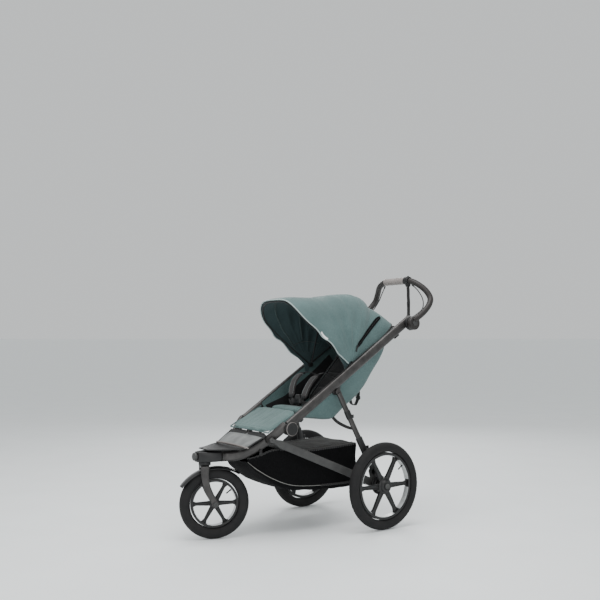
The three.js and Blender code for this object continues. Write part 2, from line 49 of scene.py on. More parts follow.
AXLE_Y = 224.35                      # the rear axle is this far behind the record's origin
TAU = 2 * pi

FOLD_PIVOT = (-441, 479)             # (y, z) of the hinges
BAR_PIVOT = (-530, 432)
LEG_PIVOT = (-175, 632)
LEG_FOOT = (-27, 262)
HANDLE_PIVOT = (278, 957)
CANOPY_PIVOT = (-75, 748)
AXLE_Z = 200
TUBE_X = 186
STEER_Y, STEER_TRAIL, SWIVEL = -767, 44, -0.352
SIDES = (("left", 1), ("right", -1))


def place(p):
    return Vector((p[0], p[1] + AXLE_Y, p[2])) * MM


def link(name, data):
    obj = bpy.data.objects.new(name, data)
    bpy.context.collection.objects.link(obj)
    return obj


# ---- Camera and light ----
LENS, SENSOR = 48.963, 36            # mm
YAW, PITCH = 54.7213, 2.6187         # degrees
EYE = (3.2104, -2.29795, 0.88705)    # metres


def camera():
    data = bpy.data.cameras.new("camera")
    data.lens, data.sensor_width = LENS, SENSOR
    yaw, pitch = radians(YAW), radians(PITCH)
    right = Vector((cos(yaw), sin(yaw), 0))
    ahead = Vector((-sin(yaw) * cos(pitch), cos(yaw) * cos(pitch),
                    sin(pitch)))
    up = right.cross(ahead)
    turn = Matrix((right, up, -ahead)).transposed().to_4x4()
    obj = link("camera", data)
    obj.matrix_world = Matrix.Translation(EYE) @ turn
    bpy.context.scene.camera = obj


def area_light(name, where, target, size, power):
    data = bpy.data.lights.new(name, "AREA")
    data.shape, data.size, data.energy = "DISK", size, power
    aim = (Vector(target) - Vector(where)).to_track_quat("-Z", "Y")
    link(name, data).matrix_world = Matrix.Translation(where) @ aim.to_matrix().to_4x4()


def studio():
    area_light("overhead", (0.3, -0.3, 3.4), (0, 0, 0.5), 2.6, 95)
    area_light("front_fill", (3.6, -1.4, 1.5), (0, -0.1, 0.6), 2.2, 34)
    area_light("left_fill", (0.6, -3.8, 1.6), (0, 0, 0.5), 2.2, 22)
    area_light("back_rim", (-2.6, 2.4, 2.4), (0, 0, 0.7), 1.8, 40)
    world = bpy.data.worlds.new("studio_world")
    world.use_nodes = True
    colour, strength = world.node_tree.nodes["Background"].inputs[:2]
    colour.default_value = (0.86, 0.885, 0.89, 1)
    strength.default_value = 0.85
    bpy.context.scene.world = world


# ---- Materials: every one is built from object-space textures in metres ----
def srgb(r, g, b):
    return tuple((c / 255 / 12.92 if c <= 10 else ((c / 255 + 0.055) / 1.055) ** 2.4)
                 for c in (r, g, b)) + (1,)


class Look:
    """A Principled material with helpers that add textures and link them in."""

    def __init__(self, name, **sockets):
        self.material = bpy.data.materials.new(name)
        self.material.use_nodes = True
        self.tree = self.material.node_tree
        self.shader = self.tree.nodes["Principled BSDF"]
        for key, value in sockets.items():
            self.shader.inputs[key.replace("_", " ").title().replace("Ior", "IOR")] \
                .default_value = value
        self.coords = self.tree.nodes.new("ShaderNodeTexCoord").outputs["Object"]
        self.normal = None

    def node(self, kind, output=0, props=None, **inputs):
        n = self.tree.nodes.new("ShaderNode" + kind)
        for key, value in (props or {}).items():
            setattr(n, key, value)
        for key, value in inputs.items():
            socket = n.inputs[int(key[1:])] if key[0] == "i" and key[1:].isdigit() \
                else n.inputs[key.replace("_", " ").title()]
            if hasattr(value, "is_output"):
                self.tree.links.new(value, socket)
            else:
                socket.default_value = value
        return n.outputs[output]

    def stretched(self, scale):
        return self.node("Mapping", Vector=self.coords, Scale=scale)

    def noise(self, scale, detail=3, stretch=None):
        return self.node("TexNoise", 0, Vector=self.stretched(stretch) if stretch
                         else self.coords, Scale=scale, Detail=detail)

    def threads(self, axis, pitch, distortion=0.0):
        return self.node("TexWave", 1, {"bands_direction": axis}, Vector=self.coords,
                         Scale=TAU / 20 / pitch, Distortion=distortion, Detail=1.0)

    def cells(self, scale, stretch=None):
        return self.node("TexVoronoi", 0, Vector=self.stretched(stretch) if stretch
                         else self.coords, Scale=scale)

    def maths(self, operation, a, b):
        return self.node("Math", 0, {"operation": operation}, i0=a, i1=b)

    def level(self, value, low, high, start=0.0, end=1.0):
        return self.node("MapRange", 0, i0=value, i1=start, i2=end, i3=low, i4=high)

    def tone(self, value, dark, light, start=0.3, end=0.7):
        ramp = self.tree.nodes.new("ShaderNodeValToRGB")
        ramp.color_ramp.elements[0].position, ramp.color_ramp.elements[0].color = start, dark
        ramp.color_ramp.elements[1].position, ramp.color_ramp.elements[1].color = end, light
        self.tree.links.new(value, ramp.inputs[0])
        return ramp.outputs[0]

    def blend(self, a, b, factor, mode="MULTIPLY"):
        return self.node("Mix", 2, {"data_type": "RGBA", "blend_type": mode},
                         i0=factor, i6=a, i7=b)

    def colour(self, socket):
        self.tree.links.new(socket, self.shader.inputs["Base Color"])

    def rough(self, value, low, high, start=0.3, end=0.7):
        self.tree.links.new(self.level(value, low, high, start, end),
                            self.shader.inputs["Roughness"])

    def bump(self, height, strength, distance):
        inputs = {"Strength": strength, "Distance": distance, "Height": height}
        if self.normal:
            inputs["Normal"] = self.normal
        self.normal = self.node("Bump", 0, **inputs)
        self.tree.links.new(self.normal, self.shader.inputs["Normal"])


def cloth(name, dark, light, pitch, weight=0.5, sheen=0.25, mottling=0.08, rough=0.88,
          specular=0.25):
    """Woven cloth: crossing threads, melange yarn and slow folds of wear."""
    k = Look(name, roughness=rough, sheen_weight=sheen, sheen_roughness=0.5,
             specular_ior_level=specular)
    crossing = k.maths("ADD", k.threads("X", pitch, 0.4),
                       k.maths("MULTIPLY", k.threads("Y", pitch, 0.4), k.threads("Z", pitch, 0.4)))
    yarn = k.noise(0.55 / pitch, 4, (1, 1, 0.35))
    base = k.tone(yarn, dark, light, 0.32, 0.68)
    wear = k.tone(k.noise(9, 5), (1 - 2 * mottling,) * 3 + (1,), (1, 1, 1, 1), 0.35, 0.62)
    k.colour(k.blend(base, wear, 1.0))
    k.bump(crossing, 0.28 * weight, 0.0005)
    k.bump(k.noise(38, 3), 0.22 * weight, 0.004)
    return k.material


def webbing(name, dark, light):
    k = Look(name, roughness=0.7, sheen_weight=0.15, specular_ior_level=0.3)
    rib = k.threads("Z", 0.0016, 0.2)
    cross = k.threads("X", 0.0024, 0.2)
    k.colour(k.tone(k.maths("ADD", k.maths("MULTIPLY", rib, 0.5), k.noise(1500, 2)),
                    dark, light, 0.3, 0.95))
    k.bump(k.maths("ADD", rib, cross), 0.4, 0.0006)
    return k.material


def metal(name, dark, light, rough, metallic, grain=(1, 0.06, 0.06)):
    """Anodised tube: drawn grain, fine flake and faint handling marks."""
    k = Look(name, metallic=metallic, specular_ior_level=0.5, coat_weight=0.06,
             coat_roughness=0.35)
    flake = k.noise(2600, 2)
    drawn = k.noise(520, 3, grain)
    marks = k.noise(26, 6)
    k.colour(k.tone(k.maths("ADD", k.maths("MULTIPLY", flake, 0.35),
                            k.maths("MULTIPLY", marks, 0.65)), dark, light, 0.34, 0.64))
    k.rough(k.maths("ADD", k.maths("MULTIPLY", drawn, 0.5), k.maths("MULTIPLY", marks, 0.5)),
            rough - 0.07, rough + 0.09)
    k.bump(k.maths("ADD", flake, drawn), 0.05, 0.0004)
    return k.material


def plastic(name, dark, light, rough, grain=1900, depth=0.14, rounded=0.0012, coat=0.0):
    """Moulded plastic: spark-eroded grain, faint flow marks and softened edges."""
    k = Look(name, specular_ior_level=0.45, coat_weight=coat, coat_roughness=0.2)
    if rounded:
        k.normal = k.node("Bevel", 0, {"samples": 4}, Radius=rounded)
    fine, flow = k.cells(grain), k.noise(14, 5)
    k.colour(k.tone(flow, dark, light, 0.3, 0.75))
    k.rough(flow, rough - 0.06, rough + 0.08)
    k.bump(fine, depth, 0.0003)
    return k.material


def leather(name, dark, light):
    k = Look(name, specular_ior_level=0.4)
    pores, crease = k.cells(620), k.noise(240, 4)
    k.colour(k.tone(k.maths("ADD", k.maths("MULTIPLY", pores, 0.5),
                            k.maths("MULTIPLY", k.noise(20, 5), 0.6)), dark, light, 0.25, 0.8))
    k.rough(crease, 0.44, 0.62)
    k.bump(pores, 0.45, 0.0006)
    k.bump(crease, 0.2, 0.0006)
    return k.material


def spacer_mesh(name, dark, light):
    """Knitted spacer mesh: rows of round holes that show darker than the yarn."""
    k = Look(name, roughness=0.9, sheen_weight=0.2, specular_ior_level=0.2)
    holes = k.cells(330)
    k.colour(k.tone(holes, dark, light, 0.18, 0.55))
    k.bump(holes, 0.7, 0.0012)
    k.bump(k.noise(45, 3), 0.2, 0.004)
    return k.material


def bright_film(name, dark, light):
    """A bright, part-metallic film with a fine cell pattern."""
    k = Look(name, metallic=0.55, specular_ior_level=0.6, coat_weight=0.2,
             coat_roughness=0.25)
    cells = k.cells(700)
    k.colour(k.tone(k.noise(30, 4), dark, light, 0.3, 0.7))
    k.rough(k.noise(60, 4), 0.32, 0.5)
    k.bump(cells, 0.25, 0.0004)
    return k.material


def rubber(name, dark, light, rough=0.78):
    k = Look(name, specular_ior_level=0.3)
    dust = k.noise(24, 6)
    k.colour(k.tone(dust, dark, light, 0.35, 0.75))
    k.rough(dust, rough - 0.08, rough + 0.1)
    k.bump(k.noise(1500, 3), 0.25, 0.0004)
    k.bump(k.noise(160, 3), 0.12, 0.0008)
    return k.material


TEAL = cloth("teal_canvas", srgb(72, 94, 94), srgb(95, 117, 116), 0.0011, 0.5, 0.12)
TEAL_PAD = cloth("teal_seat_cloth", srgb(80, 102, 101), srgb(106, 127, 125), 0.0013, 0.7, 0.12)
# Painted shade: a darkened copy of the teal for the seam lines, the bow bands inside the hood and
# the wing hems.
TEAL_SHADE = cloth("painted_shade_teal", srgb(52, 66, 67), srgb(70, 86, 86), 0.0012, 0.5)
# Painted shade: the hood's inner face and its side wings are the hood's teal, darkened as if in
# shade.
LINING_PAINTED_SHADE = cloth("teal_lining_painted_shade", srgb(48, 64, 66), srgb(66, 84, 86), 0.0012, 0.5, 0.2)
PIPING = cloth("light_piping", srgb(150, 166, 165), srgb(176, 190, 188), 0.0008, 0.4)
BLACK_CLOTH = cloth("black_ripstop", srgb(9, 9, 10), srgb(19, 19, 20), 0.0016, 0.8, 0.0,
                    specular=0.08)
COVER_CLOTH = cloth("olive_grey_cloth", srgb(34, 34, 32), srgb(50, 50, 47), 0.0014, 0.7, 0.05,
                    specular=0.15)
GREY_PIPING = cloth("grey_piping", srgb(112, 112, 108), srgb(140, 140, 136), 0.0008, 0.4)
BLACK_MESH = spacer_mesh("black_mesh", srgb(8, 8, 9), srgb(26, 26, 27))
WEBBING = webbing("black_webbing", srgb(16, 16, 17), srgb(40, 39, 39))
PAD_CLOTH = cloth("harness_cloth", srgb(44, 42, 42), srgb(66, 62, 62), 0.0012, 0.6)
GRAPHITE = metal("graphite_anodised", srgb(54, 52, 52), srgb(74, 72, 71), 0.38, 0.66)
GREY_METAL = metal("grey_painted_bar", srgb(58, 58, 58), srgb(73, 73, 72), 0.52, 0.4)
BLACK_PLASTIC = plastic("black_moulded", srgb(13, 13, 14), srgb(25, 24, 25), 0.5)
WHEEL_BLACK = plastic("wheel_black", srgb(14, 14, 15), srgb(26, 25, 26), 0.46, 2400, 0.1)
GLOSS_PLASTIC = plastic("mudguard_black", srgb(17, 17, 18), srgb(30, 29, 30), 0.3, 2600, 0.06,
                        0.0012, 0.3)
SILVER = plastic("silver_satin", srgb(112, 106, 104), srgb(140, 133, 130), 0.42, 1500, 0.16)
# Painted highlight: near-white arcs round each rim's inner edge, standing for light caught there.
RIM_HIGHLIGHT_PAINT = bright_film("painted_rim_highlight", srgb(190, 192, 192), srgb(226, 228, 228))
LIGHT_PANEL = bright_film("light_panel", srgb(112, 114, 114), srgb(146, 148, 147))
TYRE = rubber("tyre_rubber", srgb(19, 19, 20), srgb(36, 35, 35))
CABLE = rubber("cable_sheath", srgb(20, 20, 21), srgb(34, 34, 35), 0.6)
LEATHER = leather("grip_leather", srgb(25, 23, 22), srgb(46, 42, 41))
TAG = cloth("white_tape", srgb(228, 231, 230), srgb(244, 246, 245), 0.0009, 0.4)


# ---- Mesh building ----
def smooth_curve(points, count, s=1):
    """count + 1 points, evenly spaced along a smooth curve through the points; s mirrors x."""
    pts = [Vector((s * x, y, z)) for x, y, z in points]
    pts = [pts[0]] + [q for p, q in zip(pts, pts[1:]) if (q - p).length > 1e-3]
    ends = [2 * pts[0] - pts[1], *pts, 2 * pts[-1] - pts[-2]]
    dense = []
    for p0, p1, p2, p3 in zip(ends, ends[1:], ends[2:], ends[3:]):
        t1 = (p1 - p0).length ** 0.5
        t2 = t1 + (p2 - p1).length ** 0.5
        t3 = t2 + (p3 - p2).length ** 0.5
        for k in range(20):
            t = t1 + (t2 - t1) * k / 20
            a1, a2, a3 = (p0.lerp(p1, t / t1), p1.lerp(p2, (t - t1) / (t2 - t1)),
                          p2.lerp(p3, (t - t2) / (t3 - t2)))
            b1, b2 = a1.lerp(a2, t / t2), a2.lerp(a3, (t - t1) / (t3 - t1))
            dense.append(b1.lerp(b2, (t - t1) / (t2 - t1)))
    dense.append(pts[-1])
    co = np.array(dense)
    run = np.concatenate([[0], np.cumsum(np.linalg.norm(np.diff(co, axis=0), axis=1))])
    at = np.linspace(0, run[-1], count + 1)
    return [Vector(p) for p in np.stack([np.interp(at, run, co[:, k]) for k in range(3)], 1)]


def heading(path, i):
    """The direction of the path at its point i."""
    return (path[min(i + 1, len(path) - 1)] - path[max(i - 1, 0)]).normalized()


def oval(width, height, sides=28, square=2.0):
    """Section of a tube; square above 2 flattens its faces."""
    out = []
    for i in range(sides):
        c, s = cos(TAU * i / sides), sin(TAU * i / sides)
        out.append((copysign(abs(c) ** (2 / square), c) * width / 2,
                    copysign(abs(s) ** (2 / square), s) * height / 2))
    return out


class Build:
    """Collects shapes in millimetres and makes one object of them."""

    def __init__(self, turn=Matrix.Identity(4)):
        self.verts, self.faces, self.looks = [], [], []
        self.turn = turn

    def put(self, verts, faces):
        base = len(self.verts)
        self.verts += [self.turn @ Vector(v) for v in verts]
        self.faces += [[base + i for i in f] for f in faces]

    def rings(self, rings, closed=False, caps=True):
        n = len(rings[0])
        verts = [p for ring in rings for p in ring]
        faces = []
        for r in range(len(rings) if closed else len(rings) - 1):
            a, b = r * n, ((r + 1) % len(rings)) * n
            for i in range(n):
                j = (i + 1) % n
                faces.append((a + i, a + j, b + j, b + i))
        if caps and not closed:
            faces += [tuple(range(n))[::-1], tuple(range(len(verts) - n, len(verts)))]
        self.put(verts, faces)

    def sweep(self, path, section, side=(1, 0, 0), scale=None):
        rings, n = [], len(path) - 1
        side = Vector(side)
        for i, p in enumerate(path):
            t = heading(path, i)
            u = (side - t * side.dot(t)).normalized()
            v = u.cross(t)
            ku, kv = scale(i / n) if scale else (1, 1)
            rings.append([p + u * a * ku + v * b * kv for a, b in section])
        self.rings(rings)

    def lathe(self, profile, centre=(0, 0, 0), segments=48, s=1, start=0.0, end=TAU):
        """Turns a closed (radius, x) outline about the x axis through centre; s mirrors x."""
        whole = end - start > TAU - 1e-6
        steps = segments if whole else max(2, int(segments * (end - start) / TAU))
        rings = []
        for k in range(steps if whole else steps + 1):
            a = start + (end - start) * k / steps
            rings.append([(centre[0] + s * x, centre[1] + r * cos(a),
                           centre[2] + r * sin(a)) for r, x in profile])
        self.rings(rings, closed=whole)

    def pin(self, radius, x0, x1, centre=(0, 0, 0), segments=32, cut=0.0, bore=0.01, s=1):
        """A round bar from x0 to x1, with its rims chamfered by cut; s mirrors x."""
        rims = [(radius - cut, x0), (radius, x0 + cut), (radius, x1 - cut), (radius - cut, x1)]
        self.lathe([(bore, x0), *(rims if cut else rims[::2]), (bore, x1)], centre, segments, s)

    def plate(self, outline, x0, x1, s=1):
        """A (y, z) outline made solid from x0 to x1; s mirrors x."""
        self.rings([[(x, y, z) for y, z in outline] for x in sorted((s * x0, s * x1))])

    def slab(self, outline, z0, z1):
        """An (x, y) outline made solid from z0 to z1."""
        self.rings([[(x, y, z) for x, y in outline] for z in (z0, z1)])

    def box(self, size, centre):
        x, y, z = (s / 2 for s in size)
        cx, cy, cz = centre
        self.plate([(cy - y, cz - z), (cy + y, cz - z), (cy + y, cz + z), (cy - y, cz + z)],
                   cx - x, cx + x)

    def stitch(self, path, pitch=5.0, length=3.4, radius=0.45):
        """Short thread dashes along a path, each a five-sided bar with pointed ends."""
        run = sum((b - a).length for a, b in zip(path, path[1:]))
        line = smooth_curve(path, max(4, int(run / pitch)) * 2)
        for a, b in zip(line[0:-1:2], line[1::2]):
            t = (b - a).normalized()
            half, m = t * length / 2, (a + b) / 2
            u = t.orthogonal().normalized()
            v = t.cross(u)
            self.rings([[m + half * along + (u * cos(w) + v * sin(w)) * radius * r
                         for w in (TAU * j / 5 for j in range(5))]
                        for along, r in ((-1, 0.3), (-0.6, 1), (0.6, 1), (1, 0.3))])

    def object(self, name, looks, bevel=0.0, subdivide=0, sharp=38, weld=True, segments=2):
        mesh = bpy.data.meshes.new(name)
        mesh.from_pydata([place(v) for v in self.verts], [], self.faces)
        for look in looks if isinstance(looks, (list, tuple)) else [looks]:
            mesh.materials.append(look)
        if self.looks:
            mesh.polygons.foreach_set("material_index", self.looks)
        bm = bmesh.new()
        bm.from_mesh(mesh)
        if weld:
            bmesh.ops.remove_doubles(bm, verts=bm.verts, dist=1e-6)
        bmesh.ops.recalc_face_normals(bm, faces=bm.faces)
        bm.to_mesh(mesh)
        bm.free()
        obj = link(name, mesh)
        if bevel:
            m = obj.modifiers.new("bevel", "BEVEL")
            m.width, m.segments, m.limit_method = bevel * MM, segments, "ANGLE"
            m.angle_limit = radians(BEVEL_FROM)
        if subdivide:
            m = obj.modifiers.new("smooth", "SUBSURF")
            m.levels = m.render_levels = subdivide
        if bevel or subdivide:
            bake(obj)
        shade(obj, sharp)
        return obj

    def piece(self, name, look, body, slot, *nodes, **shape):
        """Makes the object and sets it on its body, in place of the CAD nodes."""
        return finish_piece(self.object(name, look, **shape), body, slot, *nodes)


BEVEL_FROM = 32                      # degrees: only edges sharper than this are bevelled


def bake(obj):
    """Applies the modifiers to the mesh."""
    graph = bpy.context.evaluated_depsgraph_get()
    graph.update()
    mesh = bpy.data.meshes.new_from_object(obj.evaluated_get(graph))
    obj.modifiers.clear()
    obj.data = mesh


def shade(obj, sharp):
    """Smooth faces, with edges sharper than the angle kept crisp."""
    bm = bmesh.new()
    bm.from_mesh(obj.data)
    limit = radians(sharp)
    for face in bm.faces:
        face.smooth = True
    for edge in bm.edges:
        if len(edge.link_faces) == 2:
            edge.smooth = edge.calc_face_angle(0) < limit
    bm.to_mesh(obj.data)
    bm.free()


def finish_piece(obj, body, slot, *nodes):
    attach(obj, body)
    if nodes:
        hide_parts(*nodes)
    return obj


def bend(obj, near, far, start, end, slot=None, *nodes):
    """Bakes the piece's placement into its mesh and hides the given CAD nodes; it bends nothing, and
    near, far, start and end are not used.
    """
    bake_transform(obj)
    if nodes:
        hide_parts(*nodes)
    return obj


def dress(nodes, look):
    """Gives CAD nodes whose shape stays a detailed material."""
    for name in nodes:
        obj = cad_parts[name]
        for i in range(max(1, len(obj.material_slots))):
            if obj.material_slots:
                obj.material_slots[i].material = look
            else:
                obj.data.materials.append(look)


# ---- Wheels (local centre at the origin, axle along x) ----
TREAD_DEPTH = 1.3
SPOKES = 6
VALVE_AT = TAU / 12 + 0.12           # between two spokes


REAR_WHEEL = dict(radius=200, width=46, rim=154, bead=141, hub=38, blocks=66, gap=0.13)
FRONT_WHEEL = dict(radius=155, width=44, rim=106, bead=95, hub=24, blocks=52, gap=0.17)
HALF_TRACK = 319


def wheel_parts(turn, body, tyre_name, rim_name, hub_profile, radius, width, rim, bead, hub,
                blocks, gap):
    """Tyre, spoked rim, near-white arcs of painted highlight along the rim's inner edge, and valve.
    gap is half the angle between two arcs.
    """
    half = width / 2
    centre_r, depth = (radius + rim) / 2 + 0.2, (radius - rim) / 2 - 0.2
    tyre = Build(turn)
    rings, around = [], blocks * 4
    for k in range(around):
        theta = TAU * k / around
        ring = []
        for j in range(31):
            a = -2.62 + 5.24 * j / 30
            bulge = copysign(abs(sin(a)) ** 0.86, sin(a)) * half
            r = centre_r + depth * cos(a)
            sipe = (k + (2 if a > 0 else 0)) % 4 == 0 and 0.42 < abs(a) < 1.12
            channel = abs(abs(a) - 0.37) < 0.06
            if sipe or channel:
                r -= TREAD_DEPTH * cos(a)
            if abs(abs(a) - 1.72) < 0.1:
                bulge *= 0.985
            ring.append((bulge, r * cos(theta), r * sin(theta)))
        rings.append(ring)
    tyre.rings(rings, closed=True)
    tyre.piece(tyre_name + "_tread", TYRE, body, "tyre", tyre_name, sharp=50)

    wheel = Build(turn)
    wall = width * 0.3
    o = (0, 0, 0)
    wheel.lathe([(bead, -wall * 0.8), (bead + 1.5, -wall * 0.95), (rim - 2, -wall),
                 (rim, -wall * 0.9), (rim, wall * 0.9), (rim - 2, wall),
                 (bead + 1.5, wall * 0.95), (bead, wall * 0.8)], o, 96)
    wheel.lathe(hub_profile, o, 48)
    beam = [(1, -0.55), (1, 0.55), (0.7, 1), (0.42, 0.5), (-0.42, 0.5), (-0.7, 1),
            (-1, 0.55), (-1, -0.55), (-0.7, -1), (-0.42, -0.5), (0.42, -0.5), (0.7, -1)]
    root = 4.6 + hub * 0.16
    for i in range(SPOKES):
        w = TAU * i / SPOKES
        ray = Vector((0, cos(w), sin(w)))
        path = [ray * (hub - 3 + (bead + 2 - hub) * q / 12) for q in range(13)]
        section = [(a * root, b * 8.6) for a, b in beam]
        wheel.sweep(path, section, side=(0, -sin(w), cos(w)),
                    scale=lambda f: (1.2 - 0.5 * f + 0.75 * max(0, f - 0.82) / 0.18, 1))
        bolt = ray * (hub - 5)
        wheel.turn = turn @ Matrix.Translation((0, bolt.y, bolt.z))
        wheel.lathe([(0.01, 9), (0.01, 10.6), (2.6, 10.6), (3.2, 9)], o, 12)
        wheel.turn = turn
    wheel.piece(rim_name + "_spokes", WHEEL_BLACK, body, "wheel_black", rim_name, bevel=0.7)

    # Near-white arcs along the rim's inner edge between the spokes: a painted highlight.
    arcs = Build(turn)
    for i in range(SPOKES):
        w = TAU * i / SPOKES
        arcs.lathe([(bead - 1.2, -wall * 0.95), (bead + 0.3, -wall * 0.95),
                    (bead + 0.3, wall * 0.95), (bead - 1.2, wall * 0.95)], o, 96,
                   start=w + gap, end=w + TAU / SPOKES - gap)
    arcs.piece(rim_name + "_painted_highlight", RIM_HIGHLIGHT_PAINT, body, "silver_grip")

    valve = Build(turn)
    ray = Vector((0, cos(VALVE_AT), sin(VALVE_AT)))
    path = [ray * (bead + 1 - 30 * q / 6) for q in range(7)]
    valve.sweep(path, oval(6, 6, 12), side=(1, 0, 0),
                scale=lambda f: (1.25 if f < 0.35 else 0.85 if f < 0.55 else 1.05,) * 2)
    valve.piece(rim_name + "_valve", CABLE, body, "cable_black")


def wheels():
    """Both rear wheels with their release buttons, and the front wheel."""
    hub_rear = [(8.6, -25), (25, -25), (27, -23), (27, -10), (37, -9), (38, -7), (38, 7),
                (37, 9), (31, 11.5), (28, 19), (25, 22.6), (23, 23), (16.5, 22.2), (14.5, 20.5),
                (14.5, 12), (8.6, 12)]
    for side, s in SIDES:
        turn = Matrix.Translation((s * HALF_TRACK, 0, AXLE_Z)) @ \
            Matrix.Rotation(0 if s > 0 else pi, 4, "Z")
        wheel_parts(turn, f"rear_wheel_{side}", f"rear_tyre_{side}", f"rear_rim_{side}", hub_rear,
                    **REAR_WHEEL)
        button = Build(turn)
        button.lathe([(0.01, 17), (13.2, 17), (13.6, 18), (13.6, 25.4), (12.4, 27),
                      (9, 26.6), (7.5, 25.6), (0.01, 25.2)], (0, 0, 0), 40)
        button.piece(f"wheel_button_{side}_cap", GREY_METAL, f"wheel_button_{side}", "grey_metal",
                     f"wheel_button_{side}", sharp=30)
    hub_front = [(6.5, -26), (17, -26), (20, -24), (20, -10), (23, -9), (24, -8), (24, 8),
                 (23, 9), (20, 10), (20, 24), (17, 26), (6.5, 26)]
    wheel_parts(caster_turn() @ Matrix.Translation((0, STEER_TRAIL, FRONT_WHEEL["radius"])),
                "front_wheel", "front_tyre", "front_rim", hub_front, **FRONT_WHEEL)


def caster_turn():
    """The caster, turned about its steering axis as in the photograph."""
    return Matrix.Translation((0, STEER_Y, 0)) @ Matrix.Rotation(SWIVEL, 4, "Z")


# ---- Caster ----
def caster():
    """Fork, steerer, mudguard and axle bolt."""
    fork = Build(caster_turn())
    for s in (1, -1):
        path = smooth_curve([(32, -2, 321), (32, -3, 285), (32, 3, 245),
                             (32, 18, 205), (32, 36, 172), (32, STEER_TRAIL, 155)], 36, s)
        fork.sweep(path, oval(10.5, 34, 24, 2.8),
                   scale=lambda f: (1, 1.0 - 0.22 * f + 0.12 * (1 - f) ** 3))
        fork.lathe([(6.5, 27.6), (14, 27.6), (15, 28.6), (15, 35.5),
                    (14, 37), (6.5, 37)], (0, STEER_TRAIL, 155), 36, s)
    crown = [(36.5, -15), (36.5, 13), (30, 17), (-30, 17), (-36.5, 13), (-36.5, -15),
             (-30, -19), (30, -19)]
    fork.slab(crown, 313.5, 321.7)
    fork.piece("front_fork_blades", GRAPHITE, "caster", "graphite", "front_fork", bevel=1.6)

    collar = Build(caster_turn() @ Matrix.Translation((0, 0, 345)) @
                   Matrix.Rotation(-pi / 2, 4, "Y"))
    collar.pin(10, -24, 23, (0, 0, 0), 24, bore=4)
    collar.piece("fork_steerer", GREY_METAL, "caster", "grey_metal")

    guard = Build(caster_turn())
    rings = []
    for i in range(49):
        f = i / 48
        angle = 0.86 + 1.80 * f
        off = angle - 1.84
        inner = 159 + (13 * off ** 2 if off < 0 else 17 * off ** 2)
        width = 29 - 5.5 * max(0, (abs(2 * f - 1) - 0.82) / 0.18) ** 2
        ring = []
        for j in range(13):
            q = -1 + j / 6
            ring.append((q * width, inner + 2.2 - 8.5 * abs(q) ** 3.2))
        ring += [(x, r - 1.8) for x, r in reversed(ring)]
        rings.append([(x, STEER_TRAIL + r * cos(angle), 155 + r * sin(angle))
                      for x, r in ring])
    guard.rings(rings)
    guard.piece("front_mudguard_shell", GLOSS_PLASTIC, "caster", "black_plastic", "front_mudguard",
                sharp=50)

    axle = Build(caster_turn() @ Matrix.Translation((0, STEER_TRAIL, 155)))
    axle.pin(6, -37.4, 37.4, (0, 0, 0), 24)
    for s in (1, -1):
        axle.lathe([(0.01, 37.4), (11, 37.4), (11, 41), (9.6, 43),
                    (5.2, 43), (4.6, 40.6), (0.01, 40.6)], (0, 0, 0), 36, s)
    axle.piece("front_axle_bolt", GREY_METAL, "caster", "grey_metal", "front_axle", sharp=28)


# ---- Frame ----
def tube_z(y):
    return 656.4 + 0.66 * (y + 200)


TUBE_UP = Vector((0, 1, 0.66)).normalized()
TUBE_OUT = Vector((0, -0.66, 1)).normalized()


def half_knuckle(build, s, inner, outer):
    x0, x1 = sorted((s * inner, s * outer))
    build.pin(30, x0, x1, (0, *FOLD_PIVOT), 56, cut=1.4, bore=8.6)


